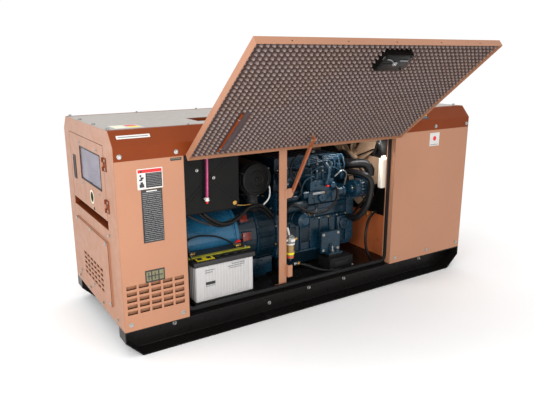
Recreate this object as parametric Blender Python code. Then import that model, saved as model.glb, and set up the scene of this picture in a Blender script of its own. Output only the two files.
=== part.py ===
"""Enclosed generator set: a steel canopy on a skid, its front door held open, with the set inside.

Metres. Every shape is given in the corner frame: x from the left end, y from the front face towards
the back, z from the top of the skid. The empty "canopy_corner" carries that frame, so the world
origin is on the floor under the middle of the canopy.
"""

import math

import bmesh
import bpy
from mathutils import Matrix, Vector

# ---- canopy ----
LENGTH = 2.459
DEPTH = 0.926
BODY_HEIGHT = 1.0
SKID_HEIGHT = 0.148
SHEET = 0.003
GAP = 0.0003
TRIM_LIP = 0.138
CHAMFER_IN = 0.0626
CHAMFER_DOWN = 0.071
TRIM_TOP_FLANGE = 0.03
END_WALL = SHEET + GAP
TRIM_BOTTOM = BODY_HEIGHT - TRIM_LIP

# ---- skid rails ----
RAIL_WIDTH = 0.097
RAIL_PLATE = 0.006
RAIL_END_DROP = 0.06
RAIL_TOE_LEFT = 0.088
RAIL_TOE_RIGHT = 0.10
CROSS_MEMBER_WIDTH = 0.16
CROSS_MEMBER_INSET = 0.35

# ---- doorway ----
DOORWAY_LEFT = 0.3507
DOORWAY_WIDTH = 1.4363
DOORWAY_RIGHT = DOORWAY_LEFT + DOORWAY_WIDTH
RETURN_DEPTH = 0.052
DOORWAY_LIP = 0.022
DOORWAY_SILL = 0.028
SEAL_WIDTH = 0.017
SEAL_RADIUS = 0.045

# ---- front and rear doors ----
DOOR_CLEARANCE = 0.0033
DOOR_DEPTH = 0.034
DOOR_BOTTOM = 0.010
DOOR_TOP = TRIM_BOTTOM - 0.004
DOOR_OPEN_ANGLE = 129.4
HINGE_OUT = 0.008
HINGE_UP = 0.006
HINGE_Z = TRIM_BOTTOM + HINGE_UP
HINGE_KNUCKLE = 0.0055
HINGE_PIN = 0.0028
HINGE_WIDTH = 0.09
HINGE_LEAF = 0.036
HINGE_PLACES = (DOORWAY_LEFT + 0.26, DOORWAY_RIGHT - 0.26 - HINGE_WIDTH)
FOAM_DEPTH = 0.024
FOAM_SEAM_Z = 0.430

# ---- latch and stay ----
LATCH_X = 1.037
LATCH_Z = 0.060
LATCH_WIDTH = 0.163
LATCH_HEIGHT = 0.107
LATCH_DEPTH = 0.018
LATCH_EDGE = 0.016
HANDLE_LENGTH = 0.060
HANDLE_WIDTH = 0.022
HANDLE_HUB = 0.016
BOLT_THICK = 0.008
BOLT_HEIGHT = 0.022
BOLT_BELOW = 0.017
STAY_PIVOT_X = 1.045
STAY_PIVOT_DROP = 0.119
STAY_PIVOT_IN = 0.0478
STAY_LENGTH = 0.347
STAY_SLANT = 0.020
STAY_ANGLE = 27.3
STAY_WIDTH = 0.027
STAY_THICK = 0.004
STAY_FLANGE = 0.011
STAY_BOLT = 0.005

# ---- centre post ----
POST_LEFT = 0.955
POST_WIDTH = 0.051
POST_SHEET = 0.005
POST_FRONT = 0.060
POST_DEPTH = 0.045
POCKET_Z = 0.540
POCKET_HEIGHT = 0.056
POCKET_SET_BACK = 0.006
POCKET_PAST_STAY = 0.010
STRIKER_Z = 0.065
STRIKER_HEIGHT = 0.073

# ---- left end ----
RECESS_FRONT = 0.148
RECESS_WIDTH = 0.661
RECESS_BOTTOM = 0.495
RECESS_TOP = 0.922
CONTROL_DOOR_BOTTOM = 0.543
CONTROL_DOOR_MARGIN = 0.006
CONTROL_DOOR_DEPTH = 0.016
CONTROL_BOX_DEPTH = 0.12
WINDOW_FRONT = 0.22
WINDOW_WIDTH = 0.375
WINDOW_BOTTOM = 0.687
WINDOW_HEIGHT = 0.171
PLATE_FRONT = 0.163
PLATE_WIDTH = 0.617
PLATE_BOTTOM = 0.072
PLATE_HEIGHT = 0.358
CONTROL_HINGE_Y = RECESS_FRONT + 0.001
CONTROL_HINGE_OUT = 0.006
CONTROL_HINGE_HEIGHT = 0.066
CONTROL_HINGE_PLACES = (0.590, 0.799)
PANEL_X = 0.085
KEY_Y = 0.36
KEY_Z = 0.645
BREAKER_Y = 0.56
BREAKER_Z = 0.65
HANDLE_Y = 0.73
HANDLE_Z = 0.727

# ---- power train, along x ----
SHAFT_Y = 0.44
SHAFT_Z = 0.27
SHAFT_RADIUS = 0.025
RUNNING_FIT = 0.0008
ALTERNATOR_LEFT = 0.43
ALTERNATOR_LENGTH = 0.37
ALTERNATOR_RADIUS = 0.18
ALTERNATOR_WALL = 0.014
ALTERNATOR_END = 0.012
COLLAR_LENGTH = 0.02
COLLAR_STEP = 0.008
FOOT_LENGTH = 0.05
FOOT_HALF = 0.13
FOOT_HEIGHT = 0.15
BELL_LENGTH = 0.255
BELL_RADIUS = 0.215
BELL_CONE = 0.10
BELL_FOOT_START = 0.12
BELL_FOOT_LENGTH = 0.08
BELL_FOOT_HALF = 0.16
BELL_FOOT_HEIGHT = 0.13
ROTOR_START = 0.05
ROTOR_LENGTH = 0.26
ROTOR_SHRINK = 0.05
FLYWHEEL_LENGTH = 0.045
BLOCK_LEFT = ALTERNATOR_LEFT + ALTERNATOR_LENGTH + BELL_LENGTH + 2 * GAP
BLOCK_LENGTH = 0.60
CASTING_WALL = 0.025
BLOCK_HALF = 0.19
BLOCK_BOTTOM = 0.11
BLOCK_TOP = 0.52
CRANKCASE_TOP = 0.40
GEAR_CASE_LENGTH = 0.06
GEAR_CASE_HALF = 0.21
GEAR_CASE_BOTTOM = 0.14
GEAR_CASE_TOP = 0.50
WATER_PUMP_RADIUS = 0.055
WATER_PUMP_LENGTH = 0.066
HEAD_FRONT = 0.13
HEAD_BACK = 0.15
HEAD_TOP = 0.63
COVER_HALF = 0.09
COVER_TOP = 0.715
MANIFOLD_BOTTOM = 0.56
MANIFOLD_TOP = 0.62
SUMP_START = 0.04
SUMP_LENGTH = 0.34
SUMP_HALF = 0.15
SUMP_BOTTOM = 0.022
BRACKET_START = 0.31
BRACKET_WIDTH = 0.15
BRACKET_BOTTOM = 0.095
BRACKET_TOP = 0.235
FILTER_START = 0.14
FILTER_Z = 0.355
FILTER_RADIUS = 0.047
FILTER_LENGTH = 0.105
INJECTION_START = 0.19
INJECTION_LENGTH = 0.24
INJECTION_DEPTH = 0.075
INJECTION_BOTTOM = 0.445
INJECTION_TOP = 0.515
INJECTION_HEAD_TOP = 0.585
CYLINDERS = 4
BLOCK_RIGHT = BLOCK_LEFT + BLOCK_LENGTH
BELT_LEFT = BLOCK_RIGHT + 0.068
BELT_WIDTH = 0.011
BELT_THICK = 0.008
FAN_Z = 0.63
FAN_RADIUS = 0.318
FAN_LEFT = BLOCK_RIGHT + 0.135
FAN_WIDTH = 0.05
FAN_BLADES = 7
FAN_HUB = 0.062
FAN_BLADE_HALF = 0.085
FAN_BLADE_LEAN = 14
FAN_SHAFT = 0.015
CRANK_PULLEY = 0.085
FAN_PULLEY = 0.07
CHARGER_PULLEY = 0.03
CHARGER_SHAFT = 0.009
CHARGER_RADIUS = 0.055
CHARGER_LENGTH = 0.125
PULLEY_EDGE = 0.005
CHARGER_Y = 0.168
CHARGER_Z = 0.505
RADIATOR_LEFT = FAN_LEFT + FAN_WIDTH + 0.025
RADIATOR_DEPTH = 0.075
RADIATOR_SIDE = 0.027
RADIATOR_OVER = 0.024
RADIATOR_NECK = 0.024
SHROUD_PLATE = 0.02
SHROUD_INNER = 0.011
SHROUD_OUTER = 0.016
BAFFLE_FLANGE = 0.06
HOSE_RADIUS = 0.021
COOLANT_LEFT = -0.052
COOLANT_RIGHT = 0.05
COOLANT_FRONT = 0.058
COOLANT_DEPTH = 0.04
COOLANT_BOTTOM = 0.505
COOLANT_TOP = 0.70

# ---- fuel ----
TANK_LEFT = 0.365
TANK_WIDTH = 0.362
TANK_FRONT = 0.125
TANK_DEPTH = 0.475
TANK_BOTTOM = 0.517
TANK_HEIGHT = 0.375
TANK_WALL = 0.003
POCKET_LEFT = 0.534
POCKET_LENGTH = 0.19
POCKET_FRONT = 0.208
POCKET_WIDTH = 0.171
POCKET_DEPTH = 0.062
NECK_RADIUS = 0.026
CAP_RADIUS = 0.036
CAP_HEIGHT = 0.028
NECK_X = POCKET_LEFT + POCKET_LENGTH * 0.53
NECK_Y = POCKET_FRONT + POCKET_WIDTH / 2

# ---- exhaust ----
MUFFLER_X = 1.50
MUFFLER_Y = 0.765
MUFFLER_Z = 0.72
MUFFLER_RADIUS = 0.075
MUFFLER_LENGTH = 0.44
MUFFLER_PAST_TAIL = 0.06
TAILPIPE = 0.032
INLET_BACK = 0.22
INLET_RADIUS = 0.028
INLET_BOTTOM = 0.60
ELBOW_HALF = 0.025
ELBOW_BOTTOM = 0.57
ELBOW_TOP = 0.615

# ---- air cleaner and engine mount ----
CLEANER_BEFORE_BLOCK = 0.19
CLEANER_FRONT = 0.16
CLEANER_Z = 0.652
CLEANER_LENGTH = 0.25
CLEANER_RADIUS = 0.094
CLEANER_OUTLET = 0.026
CLEANER_OUTLET_BACK = 0.06
STAND_START = 0.325
STAND_LENGTH = 0.185
STAND_FRONT = 0.115
STAND_BACK = 0.245
STAND_TOP = 0.074
PAD_START = 0.02
PAD_LENGTH = 0.10
PAD_FRONT = 0.15
PAD_BACK = 0.235

# ---- battery ----
BATTERY_LEFT = 0.421
BATTERY_LENGTH = 0.361
BATTERY_FRONT = 0.068
BATTERY_DEPTH = 0.170
BATTERY_BOTTOM = 0.030
BATTERY_HEIGHT = 0.205
BATTERY_LID = 0.028
LID_OVERHANG = 0.010

AXES = {"x": Vector((1, 0, 0)), "y": Vector((0, 1, 0)), "z": Vector((0, 0, 1))}
COLOURS = {
    "panel_paint": ((0.74, 0.44, 0.30), 0.45, 0.0),
    "trim_paint": ((0.26, 0.075, 0.028), 0.42, 0.0),
    "roof_paint": ((0.62, 0.58, 0.54), 0.5, 0.0),
    "skid_paint": ((0.012, 0.012, 0.012), 0.5, 0.0),
    "black_steel": ((0.02, 0.02, 0.02), 0.45, 0.2),
    "engine_paint": ((0.010, 0.06, 0.10), 0.4, 0.1),
    "alternator_paint": ((0.012, 0.11, 0.19), 0.3, 0.1),
    "foam": ((0.11, 0.075, 0.055), 0.95, 0.0),
    "rubber": ((0.015, 0.015, 0.015), 0.8, 0.0),
    "zinc": ((0.65, 0.65, 0.62), 0.3, 0.9),
    "battery_white": ((0.75, 0.73, 0.70), 0.4, 0.0),
    "battery_lid": ((0.06, 0.06, 0.07), 0.5, 0.0),
    "yellow_paint": ((0.55, 0.50, 0.03), 0.5, 0.0),
    "fan_plastic": ((0.70, 0.53, 0.36), 0.45, 0.0),
    "white_plastic": ((0.78, 0.75, 0.68), 0.4, 0.0),
    "window": ((0.45, 0.42, 0.48), 0.15, 0.0),
    "aluminium": ((0.55, 0.56, 0.57), 0.4, 0.9),
}


# ---- shapes ----
def add_object(name, mesh):
    obj = bpy.data.objects.new(name, mesh)
    bpy.context.scene.collection.objects.link(obj)
    return obj


def box(low, high, name="block"):
    low = Vector(low)
    high = Vector(high)
    bm = bmesh.new()
    bmesh.ops.create_cube(bm, size=1.0, matrix=Matrix.Diagonal((*(high - low), 1.0)))
    mesh = bpy.data.meshes.new(name)
    bm.to_mesh(mesh)
    bm.free()
    obj = add_object(name, mesh)
    obj.location = (low + high) / 2
    return obj


def cone(axis, start, length, radius, end_radius, sides=24, name="round"):
    """A cone or cylinder from start along the named axis."""
    bm = bmesh.new()
    turn = Vector((0, 0, 1)).rotation_difference(AXES[axis]).to_matrix().to_4x4()
    middle = Matrix.Translation(AXES[axis] * (length / 2))
    bmesh.ops.create_cone(bm, cap_ends=True, segments=sides, radius1=radius, radius2=end_radius,
                          depth=length, matrix=middle @ turn)
    mesh = bpy.data.meshes.new(name)
    bm.to_mesh(mesh)
    bm.free()
    mesh.shade_smooth()
    mesh.set_sharp_from_angle(angle=math.radians(35))
    obj = add_object(name, mesh)
    obj.location = start
    return obj


def cylinder(axis, start, length, radius, sides=24, name="round"):
    return cone(axis, start, length, radius, radius, sides, name)


def evaluated_mesh(obj):
    graph = bpy.context.evaluated_depsgraph_get()
    return bpy.data.meshes.new_from_object(obj.evaluated_get(graph))


def from_curve(curve, name):
    """A mesh object made from curve data, with the loose caps welded to the sides."""
    obj = add_object(name, curve)
    mesh = evaluated_mesh(obj)
    bm = bmesh.new()
    bm.from_mesh(mesh)
    bmesh.ops.remove_doubles(bm, verts=bm.verts, dist=1e-5)
    bmesh.ops.recalc_face_normals(bm, faces=bm.faces)
    bm.to_mesh(mesh)
    bm.free()
    bpy.data.objects.remove(obj)
    return add_object(name, mesh)


def prism(axis, outline, low, high, name="prism"):
    """A flat outline extruded along x, y or z; its points are the other two coordinates in order."""
    curve = bpy.data.curves.new(name, "CURVE")
    curve.dimensions = "2D"
    curve.fill_mode = "BOTH"
    curve.extrude = (high - low) / 2
    spline = curve.splines.new("POLY")
    spline.points.add(len(outline) - 1)
    for point, (u, v) in zip(spline.points, outline):
        point.co = (u, v, 0, 1)
    spline.use_cyclic_u = True
    obj = from_curve(curve, name)
    first, second = {"x": ("y", "z"), "y": ("x", "z"), "z": ("x", "y")}[axis]
    columns = Matrix((AXES[first], AXES[second], AXES[axis])).transposed().to_4x4()
    obj.data.transform(Matrix.Translation(AXES[axis] * (low + high) / 2) @ columns)
    if axis == "y":
        obj.data.flip_normals()
    return obj


def rounded(low, high, radius, steps=4):
    """The outline of a rectangle with round corners."""
    points = []
    corners = ((high[0], high[1], 0), (low[0], high[1], 90), (low[0], low[1], 180),
               (high[0], low[1], 270))
    for x, y, start in corners:
        centre_x = x - radius if x == high[0] else x + radius
        centre_y = y - radius if y == high[1] else y + radius
        for step in range(steps + 1):
            angle = math.radians(start + 90 * step / steps)
            points.append((centre_x + radius * math.cos(angle), centre_y + radius * math.sin(angle)))
    return points


def smooth_path(points, steps=5):
    """Catmull-Rom points through the given ones."""
    points = [Vector(p) for p in points]
    ends = [2 * points[0] - points[1], *points, 2 * points[-1] - points[-2]]
    path = []
    for a, b, c, d in zip(ends, ends[1:], ends[2:], ends[3:]):
        for step in range(steps):
            t = step / steps
            path.append(((2 * b) + (c - a) * t + (2 * a - 5 * b + 4 * c - d) * t * t
                         + (3 * b - a - 3 * c + d) * t ** 3) / 2)
    path.append(points[-1])
    return path


def pipe(points, radius, name="pipe"):
    curve = bpy.data.curves.new(name, "CURVE")
    curve.dimensions = "3D"
    curve.bevel_depth = radius
    curve.bevel_resolution = 2
    curve.use_fill_caps = True
    path = smooth_path(points)
    spline = curve.splines.new("POLY")
    spline.points.add(len(path) - 1)
    for point, place in zip(spline.points, path):
        point.co = (*place, 1)
    return from_curve(curve, name)


def combine(target, others, operation):
    """Joins the others to target, or cuts them out of it, and removes them."""
    for other in others:
        modifier = target.modifiers.new(operation.lower(), "BOOLEAN")
        modifier.operation = operation
        modifier.object = other
    mesh = evaluated_mesh(target)
    target.modifiers.clear()
    target.data = mesh
    for other in others:
        bpy.data.objects.remove(other)
    return target


def fuse(target, *others):
    return combine(target, others, "UNION")


def carve(target, *cutters):
    return combine(target, cutters, "DIFFERENCE")


# ---- placing ----
def material_named(name):
    if name in bpy.data.materials:
        return bpy.data.materials[name]
    colour, roughness, metallic = COLOURS[name]
    material = bpy.data.materials.new(name)
    material.use_nodes = True
    shader = material.node_tree.nodes["Principled BSDF"]
    shader.inputs["Base Color"].default_value = (*colour, 1)
    shader.inputs["Roughness"].default_value = roughness
    shader.inputs["Metallic"].default_value = metallic
    material.diffuse_color = (*colour, 1)
    return material


def keep(obj, name, material, parent, origin=None):
    """Names a finished piece, paints it and parents it; a moving piece gets its origin on its axis."""
    obj.name = name
    obj.data.name = name
    obj.data.materials.clear()
    obj.data.materials.append(material_named(material))
    scene_collection = bpy.context.scene.collection
    if obj.name in scene_collection.objects:
        scene_collection.objects.unlink(obj)
    bpy.data.collections["generator_set"].objects.link(obj)
    if origin is not None:
        shift = Vector(origin) - obj.location
        obj.data.transform(Matrix.Translation(-shift))
        obj.location = origin
    obj.parent = parent
    obj.matrix_parent_inverse = Matrix.Translation(-Vector(parent.get("rest_place", (0, 0, 0))))
    return obj


def joint_empty(name, place, parent):
    """An empty on a joint axis; its children are modelled where they are when it is not turned."""
    empty = bpy.data.objects.new(name, None)
    empty.empty_display_size = 0.05
    bpy.data.collections["generator_set"].objects.link(empty)
    empty["rest_place"] = tuple(place)
    empty.location = place
    empty.parent = parent
    empty.matrix_parent_inverse = Matrix.Translation(-Vector(parent.get("rest_place", (0, 0, 0))))
    return empty


# ---- skid ----
def rail_outline():
    return [(0, 0), (0, -RAIL_END_DROP), (RAIL_TOE_LEFT, -SKID_HEIGHT),
            (LENGTH - RAIL_TOE_RIGHT, -SKID_HEIGHT), (LENGTH, -RAIL_END_DROP), (LENGTH, 0)]


def rail_pocket_outline():
    """The rail's outline moved in by its plate, which leaves flanges and end plates."""
    lean = RAIL_PLATE * 1.5
    return [(RAIL_PLATE, -RAIL_PLATE), (RAIL_PLATE, -RAIL_END_DROP), (RAIL_TOE_LEFT + lean / 3,
            RAIL_PLATE - SKID_HEIGHT), (LENGTH - RAIL_TOE_RIGHT - lean / 3, RAIL_PLATE - SKID_HEIGHT),
            (LENGTH - RAIL_PLATE, -RAIL_END_DROP), (LENGTH - RAIL_PLATE, -RAIL_PLATE)]


def make_skid(root):
    front = prism("y", rail_outline(), 0, RAIL_WIDTH)
    front = carve(front, prism("y", rail_pocket_outline(), -0.01, RAIL_WIDTH - RAIL_PLATE))
    rear = prism("y", rail_outline(), DEPTH - RAIL_WIDTH, DEPTH)
    rear = carve(rear, prism("y", rail_pocket_outline(), DEPTH - RAIL_WIDTH + RAIL_PLATE, DEPTH + 0.01))
    inner_front = RAIL_WIDTH - RAIL_PLATE / 2
    inner_rear = DEPTH - inner_front
    parts = [rear, box((RAIL_PLATE, inner_front, -RAIL_PLATE), (LENGTH - RAIL_PLATE, inner_rear, 0))]
    centres = (CROSS_MEMBER_INSET, LENGTH / 2, LENGTH - CROSS_MEMBER_INSET)
    for centre in centres:
        parts.append(box((centre - CROSS_MEMBER_WIDTH / 2, inner_front, -SKID_HEIGHT),
                         (centre + CROSS_MEMBER_WIDTH / 2, inner_rear, -RAIL_PLATE / 2)))
    parts.append(box((BATTERY_LEFT - 0.01, BATTERY_FRONT - 0.008, -RAIL_PLATE / 2),
                     (BATTERY_LEFT + BATTERY_LENGTH + 0.01, BATTERY_FRONT + BATTERY_DEPTH + 0.008,
                      BATTERY_BOTTOM - GAP)))
    for low_y in (RETURN_DEPTH - SHEET, DEPTH - RETURN_DEPTH):
        parts.append(box((DOORWAY_LEFT + GAP, low_y, -RAIL_PLATE / 2),
                         (DOORWAY_RIGHT - GAP, low_y + SHEET, DOORWAY_SILL)))
    skid = fuse(front, *parts)
    mouths = [box((centre - CROSS_MEMBER_WIDTH / 2 + RAIL_PLATE, inner_front + RAIL_PLATE,
                   RAIL_PLATE - SKID_HEIGHT),
                  (centre + CROSS_MEMBER_WIDTH / 2 + 0.01, inner_rear - RAIL_PLATE, -RAIL_PLATE - GAP))
              for centre in centres]
    keep(carve(skid, *mouths), "skid_frame", "skid_paint", root)


# ---- canopy shell ----
def side_panel(left, right, opening_at_right, rear):
    """A front or rear corner panel: face, return into the doorway, and the lip that backs the seal."""
    low = GAP
    high = TRIM_BOTTOM - GAP
    face = box((left, 0, low), (right, SHEET, high))
    edge = right if opening_at_right else left
    inward = 1 if opening_at_right else -1
    post = sorted((edge - inward * SHEET, edge))
    lip = sorted((edge - inward * SHEET, edge + inward * DOORWAY_LIP))
    low_lip = DOORWAY_SILL + GAP
    face = fuse(face, box((post[0], SHEET / 2, low), (post[1], RETURN_DEPTH, high)),
                box((lip[0], RETURN_DEPTH - SHEET, low_lip), (lip[1], RETURN_DEPTH, high)))
    if rear:
        mirror_to_rear(face)
    return face


def mirror_to_rear(obj):
    """Turns a piece made for the front face into its mirror image on the rear face."""
    obj.data.transform(Matrix.Translation(obj.location))
    obj.location = (0, 0, 0)
    obj.data.transform(Matrix.Translation((0, DEPTH, 0)) @ Matrix.Diagonal((1, -1, 1, 1)))
    obj.data.flip_normals()


def grille(low_u, high_u, low_v, high_v, columns, rows, bar, maker):
    """Cutters for a grid of slots; maker turns (u, v) corners into a box."""
    wide = (high_u - low_u + bar) / columns
    tall = (high_v - low_v + bar) / rows
    cutters = []
    for column in range(columns):
        for row in range(rows):
            u = low_u + column * wide
            v = low_v + row * tall
            cutters.append(maker(u, v, u + wide - bar, v + tall - bar))
    return cutters


def make_side_panels(root):
    left = side_panel(END_WALL, DOORWAY_LEFT, True, False)
    slots = grille(0.022, DOORWAY_LEFT - 0.024, 0.088, 0.242, 5, 5, 0.012,
                   lambda a, b, c, d: box((a, -0.01, b), (c, SHEET + 0.01, d)))
    keep(carve(left, *slots), "front_left_panel", "panel_paint", root)
    right_end = LENGTH - END_WALL
    keep(side_panel(DOORWAY_RIGHT, right_end, False, False), "front_right_panel", "panel_paint", root)
    keep(side_panel(END_WALL, DOORWAY_LEFT, True, True), "rear_left_panel", "panel_paint", root)
    keep(side_panel(DOORWAY_RIGHT, right_end, False, True), "rear_right_panel", "panel_paint", root)


def end_outline():
    shoulder = BODY_HEIGHT - CHAMFER_DOWN
    return [(0, GAP), (DEPTH, GAP), (DEPTH, shoulder), (DEPTH - CHAMFER_IN, BODY_HEIGHT),
            (CHAMFER_IN, BODY_HEIGHT), (0, shoulder)]


def make_end_panels(root):
    left = prism("x", end_outline(), 0, SHEET)
    recess = box((-0.01, RECESS_FRONT, RECESS_BOTTOM),
                 (0.02, RECESS_FRONT + RECESS_WIDTH, RECESS_TOP))
    border = 0.025
    hatch = box((-0.01, PLATE_FRONT + border, PLATE_BOTTOM + border),
                (0.02, PLATE_FRONT + PLATE_WIDTH - border, PLATE_BOTTOM + PLATE_HEIGHT - border))
    keep(carve(left, recess, hatch), "left_end_panel", "panel_paint", root)

    plate = prism("x", rounded((PLATE_FRONT, PLATE_BOTTOM),
                               (PLATE_FRONT + PLATE_WIDTH, PLATE_BOTTOM + PLATE_HEIGHT), 0.02, 3),
                  -0.006 - GAP, -GAP)
    slots = grille(PLATE_FRONT + 0.135, PLATE_FRONT + 0.507, PLATE_BOTTOM + 0.037,
                   PLATE_BOTTOM + 0.169, 6, 5, 0.012,
                   lambda a, b, c, d: box((-0.02, a, b), (0.02, c, d)))
    keep(carve(plate, *slots), "left_inspection_plate", "panel_paint", root)

    right = prism("x", end_outline(), LENGTH - SHEET, LENGTH)
    slots = grille(0.14, DEPTH - 0.14, 0.32, 0.90, 3, 10, 0.02,
                   lambda a, b, c, d: box((LENGTH - 0.02, a, b), (LENGTH + 0.02, c, d)))
    keep(carve(right, *slots), "right_end_panel", "panel_paint", root)


def trim_outline():
    """Section of the roof edge: inner lip behind the seal, bottom return, face, chamfer, top flange."""
    shoulder = BODY_HEIGHT - CHAMFER_DOWN
    lean = SHEET * 0.45
    inner_lip = TRIM_BOTTOM - DOORWAY_LIP
    return [(0, TRIM_BOTTOM), (RETURN_DEPTH - SHEET, TRIM_BOTTOM), (RETURN_DEPTH - SHEET, inner_lip),
            (RETURN_DEPTH, inner_lip), (RETURN_DEPTH, TRIM_BOTTOM + SHEET),
            (SHEET, TRIM_BOTTOM + SHEET), (SHEET, shoulder - lean),
            (CHAMFER_IN + lean, BODY_HEIGHT - SHEET), (CHAMFER_IN + TRIM_TOP_FLANGE,
            BODY_HEIGHT - SHEET), (CHAMFER_IN + TRIM_TOP_FLANGE, BODY_HEIGHT),
            (CHAMFER_IN, BODY_HEIGHT), (0, shoulder)]


def make_roof(root):
    low = END_WALL
    high = LENGTH - END_WALL
    for name, rear in (("roof_trim_front", False), ("roof_trim_rear", True)):
        trim = prism("x", trim_outline(), low, high)
        inner = TRIM_BOTTOM - DOORWAY_LIP - 0.01
        ends = [box((left, SHEET, inner), (right, RETURN_DEPTH + 0.01, TRIM_BOTTOM - GAP / 2))
                for left, right in ((low - 0.01, DOORWAY_LEFT + DOORWAY_LIP + GAP),
                                    (DOORWAY_RIGHT - DOORWAY_LIP - GAP, high + 0.01))]
        trim = carve(trim, *ends)
        if rear:
            trim = fuse(trim, *[fixed_hinge(place, SHEET / 2) for place in HINGE_PLACES])
            mirror_to_rear(trim)
        keep(trim, name, "trim_paint", root)
    edge = CHAMFER_IN + TRIM_TOP_FLANGE + GAP
    roof = box((low, edge, BODY_HEIGHT - SHEET), (high, DEPTH - edge, BODY_HEIGHT))
    hole = box((POCKET_LEFT, POCKET_FRONT, BODY_HEIGHT - 0.02),
               (POCKET_LEFT + POCKET_LENGTH, POCKET_FRONT + POCKET_WIDTH, BODY_HEIGHT + 0.02))
    tailpipe = cylinder("z", (MUFFLER_X, MUFFLER_Y, BODY_HEIGHT - 0.02), 0.04, TAILPIPE + 0.004)
    keep(carve(roof, hole, tailpipe), "roof_panel", "roof_paint", root)

    flange = 0.012
    top = BODY_HEIGHT - SHEET - GAP
    bottom = BODY_HEIGHT - POCKET_DEPTH
    right = POCKET_LEFT + POCKET_LENGTH
    back = POCKET_FRONT + POCKET_WIDTH
    pocket = box((POCKET_LEFT - SHEET, POCKET_FRONT - SHEET, bottom - SHEET),
                 (right + SHEET, back + SHEET, top))
    pocket = fuse(pocket, box((POCKET_LEFT - flange, POCKET_FRONT - flange, top - SHEET),
                              (right + flange, back + flange, top)))
    inside = box((POCKET_LEFT, POCKET_FRONT, bottom), (right, back, BODY_HEIGHT))
    neck = cylinder("z", (NECK_X, NECK_Y, bottom - 0.02), 0.04, NECK_RADIUS + 0.002)
    keep(carve(pocket, inside, neck), "filler_pocket", "trim_paint", root)


def make_post(root):
    """The angle post that splits the doorway, with its foot, the stay's pocket and the striker."""
    right = POST_LEFT + POST_WIDTH
    back = POST_FRONT + POST_DEPTH
    low = GAP
    high = BODY_HEIGHT - 4 * SHEET
    parts = [box((POST_LEFT, POST_FRONT, low), (right, POST_FRONT + POST_SHEET, high)),
             box((right - POST_SHEET, POST_FRONT, low), (right, back, high)),
             box((POST_LEFT, POST_FRONT, low), (right, back, low + POST_SHEET))]
    pocket_top = POCKET_Z + POCKET_HEIGHT
    plate_y = POST_FRONT + POCKET_SET_BACK
    plate_right = STAY_PIVOT_X + POCKET_PAST_STAY
    parts.append(box((right - 0.013, POST_FRONT - SHEET, POCKET_Z), (right + SHEET, POST_FRONT + 0.001,
                                                                    pocket_top)))
    parts.append(box((right - 0.001, POST_FRONT - SHEET, POCKET_Z), (right + SHEET, plate_y + SHEET,
                                                                    pocket_top)))
    corner = 0.014
    parts.append(prism("y", [(right - 0.001, POCKET_Z), (plate_right - corner, POCKET_Z),
                             (plate_right, POCKET_Z + corner), (plate_right, pocket_top),
                             (right - 0.001, pocket_top)], plate_y, plate_y + SHEET))
    striker_right = LATCH_X - 0.003
    striker_top = STRIKER_Z + STRIKER_HEIGHT
    front = DOOR_DEPTH + 0.0035
    parts.append(box((right - SHEET, front, STRIKER_Z), (right + SHEET, POST_FRONT + 0.01,
                                                         striker_top)))
    parts.append(box((right - SHEET, front, STRIKER_Z), (striker_right, front + SHEET, striker_top)))
    keep(fuse(*parts), "centre_post", "panel_paint", root)


def make_seal(root):
    low = DOORWAY_SILL - SEAL_WIDTH
    inset = GAP * 3
    outer = ((DOORWAY_LEFT + inset, low), (DOORWAY_RIGHT - inset, TRIM_BOTTOM - inset))
    inner = ((outer[0][0] + SEAL_WIDTH, outer[0][1] + SEAL_WIDTH),
             (outer[1][0] - SEAL_WIDTH, outer[1][1] - SEAL_WIDTH))
    front = DOOR_DEPTH + GAP * 2
    back = RETURN_DEPTH - SHEET - GAP
    ring = prism("y", rounded(*outer, SEAL_RADIUS), front, back)
    hole = prism("y", rounded(*inner, SEAL_RADIUS - SEAL_WIDTH), front - 0.01, back + 0.01)
    keep(carve(ring, hole), "door_seal", "rubber", root)


# ---- doors ----
def hinge_knuckles(left):
    """The outer knuckles of a door hinge, their webs up to the leaf, and the pin through them."""
    third = HINGE_WIDTH / 3
    parts = [cylinder("x", (left + 0.001, -HINGE_OUT, HINGE_Z), HINGE_WIDTH - 0.002, HINGE_PIN, 12)]
    for start in (left, left + 2 * third):
        parts.append(cylinder("x", (start + 0.0005, -HINGE_OUT, HINGE_Z), third - 0.0015,
                              HINGE_KNUCKLE, 12))
        parts.append(box((start + 0.001, -HINGE_OUT, HINGE_Z - 0.001),
                         (start + third - 0.0015, -SHEET + 0.001, HINGE_Z + 0.012)))
    return fuse(*parts)


def fixed_hinge(left, leaf_back):
    """The leaf on the trim with the outer knuckles and the pin; leaf_back is how deep it goes in y."""
    third = HINGE_WIDTH / 3
    leaf = box((left, -SHEET - GAP, HINGE_Z + 0.0005), (left + HINGE_WIDTH, leaf_back,
                                                        HINGE_Z + HINGE_LEAF))
    leaf = fuse(leaf, hinge_knuckles(left))
    space = box((left + third - 0.0005, -SHEET - 0.001, HINGE_Z - 0.01),
                (left + 2 * third + 0.0005, leaf_back + 0.001, HINGE_Z + 0.0065))
    return carve(leaf, space)


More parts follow.
